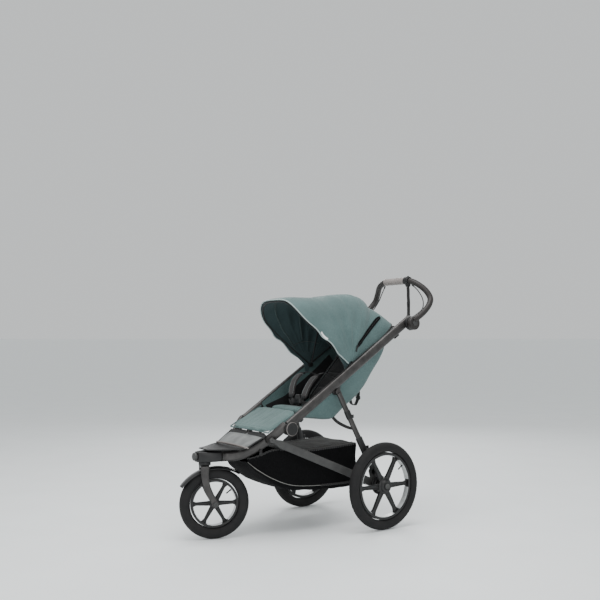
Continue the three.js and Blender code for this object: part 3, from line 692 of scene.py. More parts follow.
def head_and_deck():
    """Head housing, swivel lock dial, footrest tray and panel, leg rest rod."""
    head = Build()
    top = [(-50, -706.5), (50, -706.5), (54, -712), (54, -738), (46, -764), (33, -790),
           (21, -806), (12, -808.5), (-12, -808.5), (-21, -806), (-33, -790), (-46, -764),
           (-54, -738), (-54, -712)]
    rings = []
    for z, k in ((340, 0.90), (343, 0.97), (349, 1.0), (372, 1.0), (380, 0.96), (384, 0.86)):
        rings.append([(x * k, -706.5 + (y + 706.5) * (0.985 + 0.015 * k), z) for x, y in top])
    head.rings(rings)
    head.turn = Matrix.Translation((0, STEER_Y, 331)) @ Matrix.Rotation(-pi / 2, 4, "Y")
    head.lathe([(10.6, -9), (24, -9), (27, -6), (27, 9.2), (10.6, 9.2)], (0, 0, 0), 48)
    head.turn = Matrix.Identity(4)
    head.slab([(-40, -705), (40, -705), (40, -735), (-40, -735)], 383, 386.5)
    head.piece("head_housing_shell", BLACK_PLASTIC, "front_frame", "black_plastic", "head_housing",
               bevel=2.2, sharp=30)

    knob = Build(Matrix.Translation((0, -808.9, 364)) @ Matrix.Rotation(-pi / 2, 4, "Z"))
    rings = []
    for along, r, flute in ((0, 14, 0), (1, 15.5, 0), (3, 17.4, 1), (9, 18, 1), (12.6, 17, 1),
                            (14, 15, 0)):
        rings.append([(along, (r - flute * (1.1 if k % 6 < 2 else 0)) * cos(TAU * k / 72),
                       (r - flute * (1.1 if k % 6 < 2 else 0)) * sin(TAU * k / 72))
                      for k in range(72)])
    knob.rings(rings)
    knob.piece("swivel_lock_dial", GREY_METAL, "swivel_lock", "black_plastic", "swivel_lock_knob",
               sharp=32)

    deck = Build()
    rows = []
    for i in range(13):
        f = i / 12
        y = -775 + 139 * f
        half = np.interp(y, [-775, -735, -660, -636], [40, 64, 119, 128])
        crown = 4 * f ** 2
        dish = 9 * sin(pi * f) ** 0.8
        top = [(half * (q / 8), y, 396.5 + crown - dish * (1 - abs(q / 8) ** 3))
               for q in range(-8, 9)]
        rows.append(top + [(x, y, z - 5) for x, _, z in reversed(top)])
    deck.rings(rows)
    deck.piece("footrest_tray_shell", BLACK_PLASTIC, "front_frame", "black_plastic",
               "footrest_tray", bevel=0.8)

    lip = Build()
    path = smooth_curve([(-131, -622, 400), (-128, -634, 403), (-110, -640, 405),
                         (-60, -643, 407.5), (0, -644, 408.5), (60, -643, 407.5),
                         (110, -640, 405), (128, -634, 403), (131, -622, 400)], 60)
    lip.sweep(path, oval(6.4, 9, 16, 2.6), side=(0, 1, 0.2))
    lip.piece("footrest_lip", SILVER, "front_frame", "silver_grip")

    panel = Build()
    rows = []
    for i in range(15):
        f = i / 14
        y, z = -634 + 84 * f, 401.5 + 45.5 * f + 3.5 * sin(pi * f)
        half = 126 + 22 * f
        rows.append([(half * q / 10, y, z - 2.5 * (abs(q) / 10) ** 6) for q in range(-10, 11)] +
                    [(half * q / 10, y + 3.4, z - 5.0) for q in range(10, -11, -1)])
    panel.rings(rows)
    panel.piece("footrest_panel_sheet", LIGHT_PANEL, "front_frame", "light_panel", "footrest_panel",
                bevel=0.6)
    frame_line = Build()
    frame_line.sweep(smooth_curve([(-149, -548, 449), (0, -546, 450.5), (149, -548, 449)], 30),
                     oval(18, 5, 16, 3))
    for s in (1, -1):
        frame_line.sweep(smooth_curve([(128, -632, 399), (138, -590, 424),
                                       (149, -548, 447)], 20, s), oval(10, 5, 12, 3))
    frame_line.piece("footrest_panel_edge", BLACK_PLASTIC, "front_frame", "black_plastic")

    bar = Build()
    bar.lathe([(0.01, -120), (5.2, -120), (6, -118.6), (6, 118.6), (5.2, 120), (0.01, 120)],
              (0, -533, 453), 28)
    for x in (-86, 86):
        bar.lathe([(6.1, x - 9), (8.4, x - 8), (8.4, x + 8), (6.1, x + 9)], (0, -533, 453), 24)
    bar.piece("leg_rest_rod", GRAPHITE, "front_frame", "graphite", "leg_rest_bar")
    loop = Build()
    loop.sweep(smooth_curve([(-9, -529, 466), (-9, -540, 462), (-9, -546, 448), (-7, -541, 438),
                             (7, -541, 438), (9, -546, 448), (9, -540, 462), (9, -529, 466)], 28),
               oval(4, 7, 10, 3), side=(0, 0, 1))
    loop.lathe([(6.2, -13), (9.2, -12), (9.2, 12), (6.2, 13)], (0, -533, 453), 24)
    loop.piece("leg_rest_loop", WEBBING, "front_frame", "fabric_black")


def tubes():
    """The front and upper frame tubes, with what is fixed along them."""
    for side, s in SIDES:
        front = Build()
        path = smooth_curve([(186, -441, 507), (180, -468, 486), (165, -497, 459),
                             (143, -526, 430), (112, -566, 396), (82, -608, 371),
                             (56, -652, 360.5), (39, -684, 360), (39, -706, 360)], 64, s)
        knee = Vector((s * TUBE_X, FOLD_PIVOT[0], FOLD_PIVOT[1] + 22))
        cut = [p for p in path if (p - knee).length > 20 or p.y < -458]
        front.sweep(cut, oval(28, 44, 32, 2.25))
        half_knuckle(front, s, TUBE_X - 14.5, TUBE_X - 0.5)
        front.lathe([(8.5, 148), (16, 148), (17, 150), (17, 172), (8.5, 172)],
                    (0, *BAR_PIVOT), 36, s)
        front.piece(f"front_tube_{side}_bend", GRAPHITE, "front_frame", "graphite",
                    f"front_tube_{side}", sharp=45)

        upper = Build()
        start = FOLD_PIVOT[0] - 8
        line = [Vector((s * TUBE_X, y, tube_z(y))) for y in np.linspace(start, 290, 44)]
        upper.sweep(line, oval(28, 44, 32, 2.25))
        half_knuckle(upper, s, TUBE_X + 0.5, TUBE_X + 14.5)
        upper.plate([(-212, 655), (-150, 694), (-158, 628), (-164, 621), (-186, 620),
                     (-194, 627)], 178, 191.5, s)
        upper.pin(14, 178, 191.5, (0, *LEG_PIVOT), 32, s=s)
        upper.piece(f"upper_tube_{side}_rail", GRAPHITE, "upper_frame", "graphite",
                    f"upper_tube_{side}", sharp=45)

        trim = Build()
        collar = [Vector((s * TUBE_X, y, tube_z(y))) for y in np.linspace(286, 291.5, 5)]
        trim.sweep(collar, oval(30.5, 46.5, 32, 2.3))
        for y, below in ((188, 0), (-196, 1)):
            at = Vector((s * TUBE_X, y, tube_z(y))) + TUBE_OUT * (-25 if below else -24)
            trim.turn = Matrix.Translation(at)
            trim.sweep([-TUBE_UP * 17, -TUBE_UP * 15, TUBE_UP * 15, TUBE_UP * 17],
                       oval(13, 11, 16, 3),
                       scale=lambda f: (0.6, 0.6) if f in (0, 1) else (1, 1))
            trim.turn = Matrix.Identity(4)
        trim.piece(f"tube_trim_{side}", BLACK_PLASTIC, "upper_frame", "black_plastic", bevel=0.8)

        cap = Build()
        cap.lathe([(0.01, 173), (8, 173), (8, 200.8), (31, 200.8), (33, 202.4),
                   (33, 207.6), (31.6, 209), (29.4, 209), (28.6, 211), (27, 212),
                   (21, 212), (20.2, 211.2), (0.01, 211.2)], (0, *FOLD_PIVOT), 72, s)
        for dy in (-7, 0, 7):
            cap.box((1.4, 2.4, 14 - abs(dy)), (s * 211.6, FOLD_PIVOT[0] + dy, FOLD_PIVOT[1]))
        ring = Build()
        ring.lathe([(28.8, 208.6), (30.6, 208.6), (30.6, 210), (28.8, 211)],
                   (0, *FOLD_PIVOT), 72, s)
        ring.piece(f"hinge_ring_{side}", SILVER, "upper_frame", "silver_grip")
        cap.piece(f"hinge_cap_{side}_disc", BLACK_PLASTIC, "upper_frame", "black_plastic",
                  f"hinge_cap_{side}", sharp=30)

        housing = Build()
        housing.lathe([(0.01, 200.6), (33, 200.6), (35, 202.4), (35, 212),
                       (33.6, 213.8), (8, 213.8), (8, 226), (0.01, 226)],
                      (0, *HANDLE_PIVOT), 64, s)
        housing.sweep([Vector((s * 207, 300 - 40 * q, 968 - 27 * q)) for q in
                       np.linspace(0, 1, 9)], oval(12, 50, 24, 3))
        housing.piece(f"handle_housing_{side}_shell", BLACK_PLASTIC, "upper_frame", "black_plastic",
                      f"handle_housing_{side}", sharp=34)


# ---- Handle ----
HANDLE_HALF = [(231, 272, 970), (231, 319, 996), (229, 354, 1020), (225, 388, 1052),
               (213, 409, 1085), (188, 404, 1124), (150, 385, 1158), (104, 377, 1178),
               (60, 377, 1181)]
GRIP_AT = (377, 1181)


def handle():
    """Handlebar, brake grip, buttons, wrist strap and cables."""
    path = smooth_curve(HANDLE_HALF + [(-x, y, z) for x, y, z in reversed(HANDLE_HALF)], 190)
    bar = Build()
    for s in (1, -1):
        part = [p for p in path if s * p.x > 97.5]
        if s < 0:
            part.reverse()
        bar.sweep(part, oval(30, 30, 28), side=(0, 0.5, 0.87))
        bar.lathe([(8.6, 214.6), (31, 214.6), (33, 217), (33, 237.5),
                   (31, 240), (15.2, 240), (15.2, 229), (8.6, 229)],
                  (0, *HANDLE_PIVOT), 64, s)
    bar.pin(12, -98, 100, (0, *GRIP_AT), 32)
    bar.piece("handlebar_wrap", LEATHER, "handlebar", "grip_leather", "handlebar", sharp=40)

    seam = Build()
    for s in (1, -1):
        part = [p for p in path if s * p.x > 104 and p.z > 990]
        if s < 0:
            part.reverse()
        inner = []
        for i, p in enumerate(part):
            t = heading(part, i)
            out = Vector((0, 0.45, -0.9)).cross(t).cross(t).normalized()
            inner.append(p + out * 15.1)
        seam.stitch(inner, pitch=4.6, length=3.0, radius=0.5)
    seam.piece("handlebar_stitching", CABLE, "handlebar", "grip_leather")

    grip = Build()
    rings = []
    for x, r in [(-94, 12.7), (-94, 16.4), (-92.6, 17.6)] + \
            [(x, 18.0) for x in np.linspace(-91, 57, 38)] + [(58.6, 17.6), (60, 16.4), (60, 12.7)]:
        ring = []
        for k in range(96):
            flute = 0.55 if (r > 17.9 and k % 4 < 2 and -80 < x < 44) else 0
            w = TAU * k / 96
            ring.append((x, GRIP_AT[0] + (r - flute) * cos(w),
                         GRIP_AT[1] + (r - flute) * sin(w)))
        rings.append(ring)
    grip.rings(rings, caps=False)
    for x in (-78, -40, -2, 36):
        grip.lathe([(17.6, x - 1.6), (18.8, x - 1), (18.8, x + 1), (17.6, x + 1.6)],
                   (0, *GRIP_AT), 64)
    grip.piece("brake_twist_sleeve", SILVER, "twist_grip", "silver_grip", "brake_twist_grip",
               sharp=30)

    clamp = Build()
    clamp.lathe([(12.7, 61), (18.6, 61), (20, 62.6), (20, 94.4), (18.6, 96), (12.7, 96)],
                (0, *GRIP_AT), 56)
    clamp.plate([(365, 1168), (389, 1168), (386, 1154), (381, 1149), (373, 1149), (368, 1154)],
                72, 92)
    clamp.pin(3.4, 76, 88, (0, 377, 1202), 16)
    for x in (68, 89):
        clamp.lathe([(20, x - 1), (20.8, x - 0.6), (20.8, x + 0.6), (20, x + 1)],
                    (0, *GRIP_AT), 56)
    clamp.piece("handle_clamp_shell", BLACK_PLASTIC, "handlebar", "black_plastic", "handle_clamp",
                bevel=1.0)

    strap = Build()
    strap_line = smooth_curve([(82, 377, 1148.5), (82.5, 378.5, 1128), (81.5, 379.6, 1100),
                               (82.5, 380.6, 1070), (81.5, 381, 1045), (82, 380.6, 1020),
                               (82, 380, 1000)], 40)
    strap.sweep(strap_line, oval(16, 3.2, 16, 5), side=(0.578, 0.816, 0))
    cord = strap.piece("wrist_strap_webbing", WEBBING, "handlebar", "fabric_black", "wrist_strap")
    fitting = Build()
    for z, h in ((1062, 18), (1050, 5), (1003, 9)):
        fitting.box((20, 7, h), (82, 380.4, z))
    slider = fitting.piece("wrist_strap_slider", BLACK_PLASTIC, "handlebar", "black_plastic",
                           bevel=1.8, segments=3)

    for side, s in SIDES:
        button = Build()
        button.lathe([(0.01, 234), (14, 234), (14.2, 235), (14.2, 241.4),
                      (13, 243), (9, 242), (0.01, 241.6)], (0, *HANDLE_PIVOT), 40, s)
        button.piece(f"handle_button_{side}_cap", GREY_METAL, f"handle_button_{side}",
                     "black_plastic", f"handle_button_{side}", sharp=32)
        cable = Build()
        route = smooth_curve([(104, 384, 1160), (138, 394, 1128), (172, 396, 1080),
                              (192, 374, 1034), (190, 332, 1002),
                              (TUBE_X, 291.2, tube_z(290) + 0.8)], 70, s)
        cable.sweep(route, oval(5, 5, 14))
        for cut in (route[:5], route[-5:]):
            cable.sweep(cut, oval(7.6, 7.6, 16))
        cable_obj = cable.object(f"brake_cable_{side}_sheath", CABLE)
        bend(cable_obj, "upper_frame", "handlebar", (s * 186, 288, 978), (s * 186, 372, 1045),
             "cable_black", f"brake_cable_{side}")


# ---- Rear carriage ----
def carriage():
    """Lower bars, hub brackets, rear legs with their sockets and clips, axle, brake pedal."""
    for side, s in SIDES:
        bar = Build()
        line = smooth_curve([(180, *BAR_PIVOT), (208, -353, 354.5), (236, -176, 277),
                             (262, 0, AXLE_Z)], 40, s)
        bar.sweep(line, oval(12, 36, 24, 5), scale=lambda f: (1, min(1, 0.35 + 8 * f)))
        bar.pin(11, 173, 185, (0, *BAR_PIVOT), 40, cut=1, s=s)
        bar.lathe([(14.4, 251), (22.6, 251), (24, 252.6), (24, 266.4),
                   (22.6, 268), (0.01, 268), (0.01, 262), (14.4, 262)],
                  (0, 0, AXLE_Z), 44, s)
        bar.plate([(-22, 202), (22, 202), (6, 236), (-14, 266), (-40, 258), (-32, 230)], 256, 268, s)
        bar.pin(14, 256, 268, (0, *LEG_FOOT), 32, s=s)
        bar.piece(f"lower_bar_{side}_beam", GREY_METAL, "carriage", "grey_metal",
                  f"lower_bar_{side}", bevel=1.0, sharp=32)

        bracket = Build()
        bracket.lathe([(0.01, 268.5), (10, 268.5), (10, 282), (42, 282),
                       (44, 283), (44, 287), (42.6, 288), (34, 288),
                       (34, 291.6), (32, 293.5), (8, 293.5), (8, 326),
                       (0.01, 326)], (0, 0, AXLE_Z), 64, s)
        for k in range(10):
            w = TAU * k / 10
            bracket.box((1.2, 5, 5), (s * 288.4, 38.5 * cos(w), AXLE_Z + 38.5 * sin(w)))
        bracket.plate([(20, 218), (44, 236), (52, 228), (34, 204)], 276, 281.9, s)
        bracket.plate([(-60, 188), (-30, 182), (-28, 196), (-58, 200)], 276, 281.9, s)
        bracket.piece(f"hub_bracket_{side}_disc", BLACK_PLASTIC, "carriage", "black_plastic",
                      f"hub_bracket_{side}", sharp=32)

        leg = Build()
        line = smooth_curve([(203, -173, 627), (223, -132, 524.5), (244, -91, 422)], 30, s)
        leg.sweep(line, oval(18, 26, 28, 2.3))
        leg.pin(14, 192.5, 205, (0, *LEG_PIVOT), 36, cut=1, s=s)
        leg.piece(f"rear_leg_{side}_tube", GRAPHITE, "rear_legs", "graphite", f"rear_leg_{side}",
                  sharp=45)

        socket = Build()
        line = smooth_curve([(244.2, -90.6, 421.2), (256, -66, 362), (263, -51, 322)],
                            24, s)
        socket.sweep(line, oval(22, 32, 28, 3), scale=lambda f: (1, 1) if 0 < f < 1
                     else (0.86, 0.9))
        socket.plate([(-66, 334), (-52, 346), (-40, 346), (-28, 318), (-13, 265), (-27, 250),
                      (-40, 257), (-56, 300)], 269.5, 279.5, s)
        socket.box((14, 20, 22), (s * 267, -54, 336))
        socket.pin(14.5, 269.5, 279.5, (0, *LEG_FOOT), 32, s=s)
        socket.box((8, 12, 22), (s * 255, -45, 372))
        socket.piece(f"leg_socket_{side}_moulding", BLACK_PLASTIC, "rear_legs", "black_plastic",
                     f"leg_socket_{side}", bevel=1.6, sharp=34)
        clip = Build()
        clip.sweep(smooth_curve([(219, -140, 545), (223, -132, 524.5),
                                 (226, -126, 510)], 6, s), oval(22, 30, 24, 2.6))
        clip.box((6, 14, 16), (s * 234, -118, 520))
        clip.piece(f"leg_clip_{side}", BLACK_PLASTIC, "rear_legs", "black_plastic", bevel=1.0)

    axle = Build()
    axle.pin(14, -250.5, 250.5, (0, 0, AXLE_Z), 40, cut=1)
    axle.piece("rear_axle_tube", GRAPHITE, "carriage", "graphite", "rear_axle")
    pedal = Build()
    pedal.pin(20, -34, 34, (0, 0, AXLE_Z), 48, cut=1.2, bore=14.9)
    pedal.plate([(14, 206), (16, 213), (40, 219), (74, 222), (88, 216), (86, 210), (74, 212)],
                -34, 34)
    for k in range(4):
        pedal.box((50, 4, 2), (0, 40 + 11 * k, 220.4 + 0.4 * k))
    pedal.piece("brake_pedal_paddle", BLACK_PLASTIC, "parking_brake", "black_plastic",
                "brake_pedal", bevel=1.2)


# ---- Soft goods: shared steps ----
def swell(obj, voxel, limit, pressure=4.0):
    """Inflates a closed pad with Cloth, holding every point within limit (mm) of its start."""
    remesh = obj.modifiers.new("even", "REMESH")
    remesh.mode, remesh.voxel_size = "VOXEL", voxel * MM
    bake(obj)
    start = np.array([v.co for v in obj.data.vertices])
    m = obj.modifiers.new("pressure", "CLOTH")
    m.settings.quality = 4
    m.settings.use_pressure = True
    m.settings.uniform_pressure_force = pressure
    m.settings.effector_weights.gravity = 0
    m.settings.tension_stiffness = m.settings.compression_stiffness = 12
    m.point_cache.frame_start, m.point_cache.frame_end = 1, 20
    scene = bpy.context.scene
    for f in range(1, 21):
        scene.frame_set(f)
    graph = bpy.context.evaluated_depsgraph_get()
    end = np.array([v.co for v in obj.evaluated_get(graph).data.vertices])
    obj.modifiers.clear()
    scene.frame_set(1)
    move = end - start
    size = np.linalg.norm(move, axis=1, keepdims=True)
    reach = limit * MM
    move *= reach * np.tanh(size / reach) / np.maximum(size, 1e-9)
    obj.data.vertices.foreach_set("co", (start + move).ravel())
    obj.data.update()
    m = obj.modifiers.new("finer", "SUBSURF")
    m.levels = m.render_levels = 1
    bake(obj)
    for p in obj.data.polygons:
        p.use_smooth = True


def shape_by(obj, change):
    """Moves each vertex by change(point, normal) in millimetres of the stroller's own measure."""
    mesh = obj.data
    normals = [v.normal.copy() for v in mesh.vertices]
    for v, n in zip(mesh.vertices, normals):
        p = Vector((v.co.x / MM, v.co.y / MM - AXLE_Y, v.co.z / MM))
        v.co += change(p, n) * MM
    mesh.update()


def groove(distance, width):
    return exp(-(distance / width) ** 2)


def ruffle(p, size, scale):
    """Slow seeded unevenness of hand-sewn cloth."""
    return size * noise.noise(Vector(p) * scale)


def recolour(obj, looks, choose):
    obj.data.materials.clear()
    for look in looks:
        obj.data.materials.append(look)
    for f in obj.data.polygons:
        c = f.center / MM
        f.material_index = choose(Vector((c.x, c.y - AXLE_Y, c.z)), f.normal)


def sheet_grid(rows, thick, looks, name):
    """A thin closed skin over a grid of points (rows of equal length), grown along its normals.
    Given two looks, its grown side and its rim take the second."""
    n, m = len(rows), len(rows[0])
    p = np.array([[list(q) for q in row] for row in rows])
    normal = np.cross(np.gradient(p, axis=1), np.gradient(p, axis=0))
    normal /= np.maximum(np.linalg.norm(normal, axis=2, keepdims=True), 1e-9)
    build = Build()
    build.verts = [Vector(q) for skin in (p, p + normal * thick) for q in skin.reshape(-1, 3)]
    at = lambda i, j, k: (k * n + i) * m + j
    square = ((0, 0), (0, 1), (1, 1), (1, 0))
    cells = [(i, j) for i in range(n - 1) for j in range(m - 1)]
    front = [[at(i + a, j + b, 0) for a, b in square] for i, j in cells]
    back = [[at(i + b, j + a, 1) for a, b in square] for i, j in cells]
    rim = [[at(i + a, j, k if j == 0 else 1 - k) for a, k in ((0, 1), (0, 0), (1, 0), (1, 1))]
           for i in range(n - 1) for j in (0, m - 1)]
    rim += [[at(i, j + b, k if i == 0 else 1 - k) for b, k in ((0, 0), (0, 1), (1, 1), (1, 0))]
            for j in range(m - 1) for i in (0, n - 1)]
    build.faces = front + back + rim
    build.looks = [0] * len(front) + [len(looks) - 1] * (len(back) + len(rim))
    return build.object(name, looks, sharp=60, weld=False)


# ---- Canopy ----
FAN = [(141, 455, 208), (132, 422, 204), (122, 384, 198), (104, 342, 192), (89, 345, 189),
       (74, 366, 187), (64, 368, 183), (57, 357, 178), (45, 366, 171), (34, 380, 166)]
FAN_LINE = sorted((tuple(p) for p in smooth_curve(FAN, 160)), key=lambda p: p[0])
FRONT_BOW, MID_BOW, REAR_HEM = 141, 74, 34


def fan_at(angle):
    a, crown, half = zip(*FAN_LINE)
    return np.interp(angle, a, crown), np.interp(angle, a, half)


VISOR_FROM, VISOR_LEAN, VISOR_HIGH = 112, 5, 0.72
VISOR_CORNER = (6.7, 100, 45)    # degrees forward, distance from the pivot, half width of the wave
VISOR_STEP = (2.6, 232, 30)


def visor_swing(angle, reach, crown):
    """Degrees by which the visor's edge swings forward low down and leans back at its crown."""
    forward = min(1, max(0, (angle - VISOR_FROM) / (FRONT_BOW - VISOR_FROM))) ** 1.6
    waves = sum(turn * groove(reach - at, wide) for turn, at, wide in (VISOR_CORNER, VISOR_STEP))
    high = max(0, (reach / crown - VISOR_HIGH) / (1 - VISOR_HIGH)) ** 1.5
    return forward * (waves - VISOR_LEAN * min(1, high))


FOLDS, FOLD_DEPTH = (48, 66, 86, 112), 3.2   # angles of the cloth's creases, and how deep


# Angle, and how steeply the arch rises and draws in: square at the hem and over the seat, and
# round between them.
ARCH = [(34, 0.55, 0.36), (58, 0.95, 0.72), (95, 0.72, 0.5)]


def arch_powers(angle):
    at, rise, draw = zip(*ARCH)
    return np.interp(angle, at, rise), np.interp(angle, at, draw)


def canopy_point(angle, t, lift=0.0):
    """A point of the hood: angle about the pivot, t from -1 (right foot) to 1 (left foot)."""
    crown, half = fan_at(angle)
    tall, wide = arch_powers(angle)
    turn = (1 - abs(t)) * pi / 2
    reach = 26 + (crown - 26) * sin(turn) ** tall
    flare = 1 - (1 - reach / crown) ** 5 * (1 - 166 / half)
    away = min(1, reach / 150) * sin(pi * min(1, (angle - REAR_HEM) / 105))
    lift += away * (ruffle((angle * 0.09, reach * 0.004, t * 1.5), 5.0, 1.0) +
                    2.6 * sin(angle * 0.31 + reach * 0.021) * groove(reach - 210, 110))
    lift -= away * FOLD_DEPTH * sum(groove(angle - at - reach * 0.02, 2.4) for at in FOLDS)
    at = radians(angle + visor_swing(angle, reach, crown))
    spread = cos(turn) ** wide
    x = copysign(half * flare * spread + lift * spread, t) if t else 0
    reach += lift * (1 - spread ** 4)
    return Vector((x, CANOPY_PIVOT[0] + reach * cos(at),
                   CANOPY_PIVOT[1] + reach * sin(at)))


def canopy_at(y, z, s, lift=0.0):
    """The point of the hood's side s seen at (y, z)."""
    dy, dz = y - CANOPY_PIVOT[0], z - CANOPY_PIVOT[1]
    angle, reach = degrees(atan2(dz, dy)), hypot(dy, dz)
    crown, _ = fan_at(angle)
    part = min(1, max(0, (reach - 26) / (crown - 26))) ** (1 / arch_powers(angle)[0])
    t = s * (1 - asin(part) / (pi / 2))
    return canopy_point(angle, t, lift)


WING_TOP, WING_FOOT = 812, 711   # heights of the side wings inside the hood's feet
WING_X = 162.5                   # between the pivot and the bow's hub


def wing_point(y, z, s):
    """A point of the cloth wing that hangs inside the hood's foot, past the pivot."""
    low = min(1, max(0, (WING_TOP - z) / (WING_TOP - CANOPY_PIVOT[1])))
    high = canopy_at(y, WING_TOP, s, -6)
    return Vector((s * (abs(high.x) + (WING_X - abs(high.x)) * low ** 0.8), y, z))


def canopy_bend(obj, slot=None, *nodes):
    return bend(obj, "upper_frame", "canopy_front", (0, 200, 900), (0, -440, 900), slot, *nodes)


def canopy_zip(side, s):
    """The zip of the side vent: tape, teeth and puller."""
    teeth = Build()
    mid = smooth_curve([(0, 146, 985), (0, 110, 969), (0, 16, 898), (0, -40, 848)], 60)
    rows = []
    for i, p in enumerate(mid):
        t = heading(mid, i)
        across = Vector((0, -t.z, t.y))
        wide = 9 * min(1, 0.6 + 0.05 * i)
        rows.append([canopy_at(q.y, q.z, s, 5.6 - 0.8 * abs(k)) for k in (-1, -0.5, 0, 0.5, 1)
                     for q in [p + across * wide * k]])
    canopy_bend(sheet_grid(rows, -0.9 * s, [BLACK_CLOTH], f"canopy_zip_{side}"))
    line = [r[2] + Vector((s * 1.0, 0, 0)) for r in rows]
    for i in range(0, len(line) - 1):
        for q in (0, 0.5):
            c = line[i].lerp(line[i + 1], q)
            t = (line[i + 1] - line[i]).normalized()
            across = Vector((0, -t.z, t.y))
            k = 1 if q else -1
            teeth.sweep([c + across * (k * 0.4 - 1.7), c + across * (k * 0.4 + 1.7)],
                        oval(1.3, 1.3, 6))
    end = canopy_at(-46, 844, s, 7)
    teeth.box((4, 10, 9), end)
    teeth.sweep(smooth_curve([end + Vector((s * 2, -2, -2)), end + Vector((s * 3.2, -8, -13)),
                              end + Vector((s * 2.4, -10, -27))], 8), oval(2.6, 8, 12, 3),
                side=(1, 0, 0))
    canopy_bend(teeth.object(f"canopy_zip_teeth_{side}", BLACK_PLASTIC))


def canopy_wing(side, s):
    """The cloth wing inside the foot of the hood, with its hem."""
    rows = []
    for k in np.linspace(0, 1, 17):
        z = WING_TOP - (WING_TOP - WING_FOOT) * k
        y_front = -176 + 66 * min(1, k / 0.6) ** 0.8 + 22 * max(0, k - 0.6)
        y_rear = CANOPY_PIVOT[0] + (z - CANOPY_PIVOT[1]) * 0.287
        rows.append([wing_point(y_front + (y_rear - y_front) * q, z, s)
                     for q in np.linspace(0, 1, 13)])
    # The wing's dark teal is painted shade.
    wing = sheet_grid(rows, 0.9 * s, [LINING_PAINTED_SHADE], f"canopy_wing_{side}")
    canopy_bend(wing, "fabric_teal")
    hem = Build()
    for edge in (rows[0], [r[0] for r in rows], rows[-1]):
        hem.sweep(smooth_curve(edge, 40), oval(2.6, 2.6, 8))
    # The hem takes the painted-shade teal.
    canopy_bend(hem.object(f"canopy_wing_hem_{side}", TEAL_SHADE), "fabric_teal")


def canopy_vent():
    """The mesh strip between the rear hem and the cross bar."""
    rows = []
    for t in np.linspace(-0.62, 0.62, 33):
        top = canopy_point(REAR_HEM, t, -2)
        foot = Vector((top.x, 228, 943))
        rows.append([top.lerp(foot, k) + Vector((0, 3 * sin(pi * k), 0))
                     for k in np.linspace(0, 1, 7)])
    vent = sheet_grid(rows, 1.2, [BLACK_MESH], "canopy_rear_vent")
    canopy_bend(vent, "fabric_black")


def canopy_casing():
    """The bands sewn inside the hood, round its bows."""
    casing = Build()
    for angle, low in ((129, 0.93), (104, 0.86)):
        line = [canopy_point(angle, t, -4.2) for t in np.linspace(-low, low, 61)]
        casing.sweep(smooth_curve(line, 120), oval(9, 5, 12), side=(0, 1, 0.2))
    for s in (1, -1):
        line = [canopy_at(CANOPY_PIVOT[0] + 150 * cos(radians(a)),
                          CANOPY_PIVOT[1] + 118 * sin(radians(a)), s, -3.6)
                for a in np.linspace(128, 66, 15)]
        casing.sweep(smooth_curve(line, 50), oval(3, 6, 10), side=(0, 0, 1))
    # The bands take the painted-shade teal.
    canopy_bend(casing.object("canopy_bow_casing", TEAL_SHADE), "fabric_teal")


def canopy():
    """The hood with its edges, seams, zips, side wings, mesh strip and blank tag."""
    spread = [copysign(abs(u) ** 1.7, u) for u in np.linspace(-1, 1, 89)]
    angles = np.linspace(FRONT_BOW, REAR_HEM, 70)
    rows = [[canopy_point(a, t) for t in spread] for a in angles]
    # Inner face in the painted-shade teal, outer face in the plain teal.
    hood = sheet_grid(rows, 2.2, [LINING_PAINTED_SHADE, TEAL], "canopy_hood")
    canopy_bend(hood, "fabric_teal", "canopy_fabric")

    trim = Build()
    edge = [canopy_point(FRONT_BOW, t) for t in spread]
    trim.sweep(smooth_curve(edge, 200), oval(5.2, 5.2, 12), side=(0, 1, 0))
    canopy_bend(trim.object("canopy_piping", PIPING), "fabric_teal")
    hem = Build()
    rear = [canopy_point(REAR_HEM, t, 0.5) for t in spread]
    hem.sweep(smooth_curve(rear, 160), oval(9, 7, 12), side=(0, 1, 0))
    canopy_bend(hem.object("canopy_rear_hem", WEBBING), "fabric_black")

    sewn = Build()
    for angle, pitch in ((FRONT_BOW - 2.6, 6), (MID_BOW + 1.2, 6), (MID_BOW - 1.2, 6),
                         (REAR_HEM + 2.2, 6)):
        line = [canopy_point(angle, t, 0.9) for t in spread[3:-3]]
        sewn.stitch(smooth_curve(line, 200), pitch=pitch, length=4.2, radius=0.5)
    canopy_bend(sewn.object("canopy_stitching", PIPING), "fabric_teal")

    # Seam lines in the painted-shade teal: painted shade along each seam.
    seam = Build()
    for angle in (60, 102):
        line = smooth_curve([canopy_point(angle, t, 0.7) for t in spread[2:-2]], 170)
        seam.sweep(line, oval(3.4, 2.0, 8), side=(0, 1, 0.2))
    canopy_bend(seam.object("canopy_seams", TEAL_SHADE), "fabric_teal")

    for side, s in SIDES:
        canopy_zip(side, s)
    canopy_bend(sheet_grid([window_edge(x) for x in np.linspace(-72, 72, 33)], 1.4,
                           [BLACK_MESH], "canopy_window_gap"))

    rows = []
    for k in range(9):
        y, z = -272 + 34 * k / 8, 912 - 33 * k / 8
        rows.append([canopy_at(y + 6 * q, z + 6 * q, 1, 5) for q in (0, 0.5, 1)])
    canopy_bend(sheet_grid(rows, 1.2, [TAG], "canopy_blank_tag"), "fabric_teal")

    for side, s in SIDES:
        canopy_wing(side, s)
    canopy_vent()
    canopy_casing()


def window_edge(x):
    """Three points across the dark gap of the rolled window flap at the crown."""
    out = []
    for angle, lift in ((60.4, 1.2), (59.2, 4.4), (58.0, 1.2)):
        at = angle - 0.035 * abs(x)
        part = (abs(x) / fan_at(at)[1]) ** (1 / arch_powers(at)[1])
        out.append(canopy_point(at, copysign(1 - 2 * acos(part) / pi, x), lift))
    return out


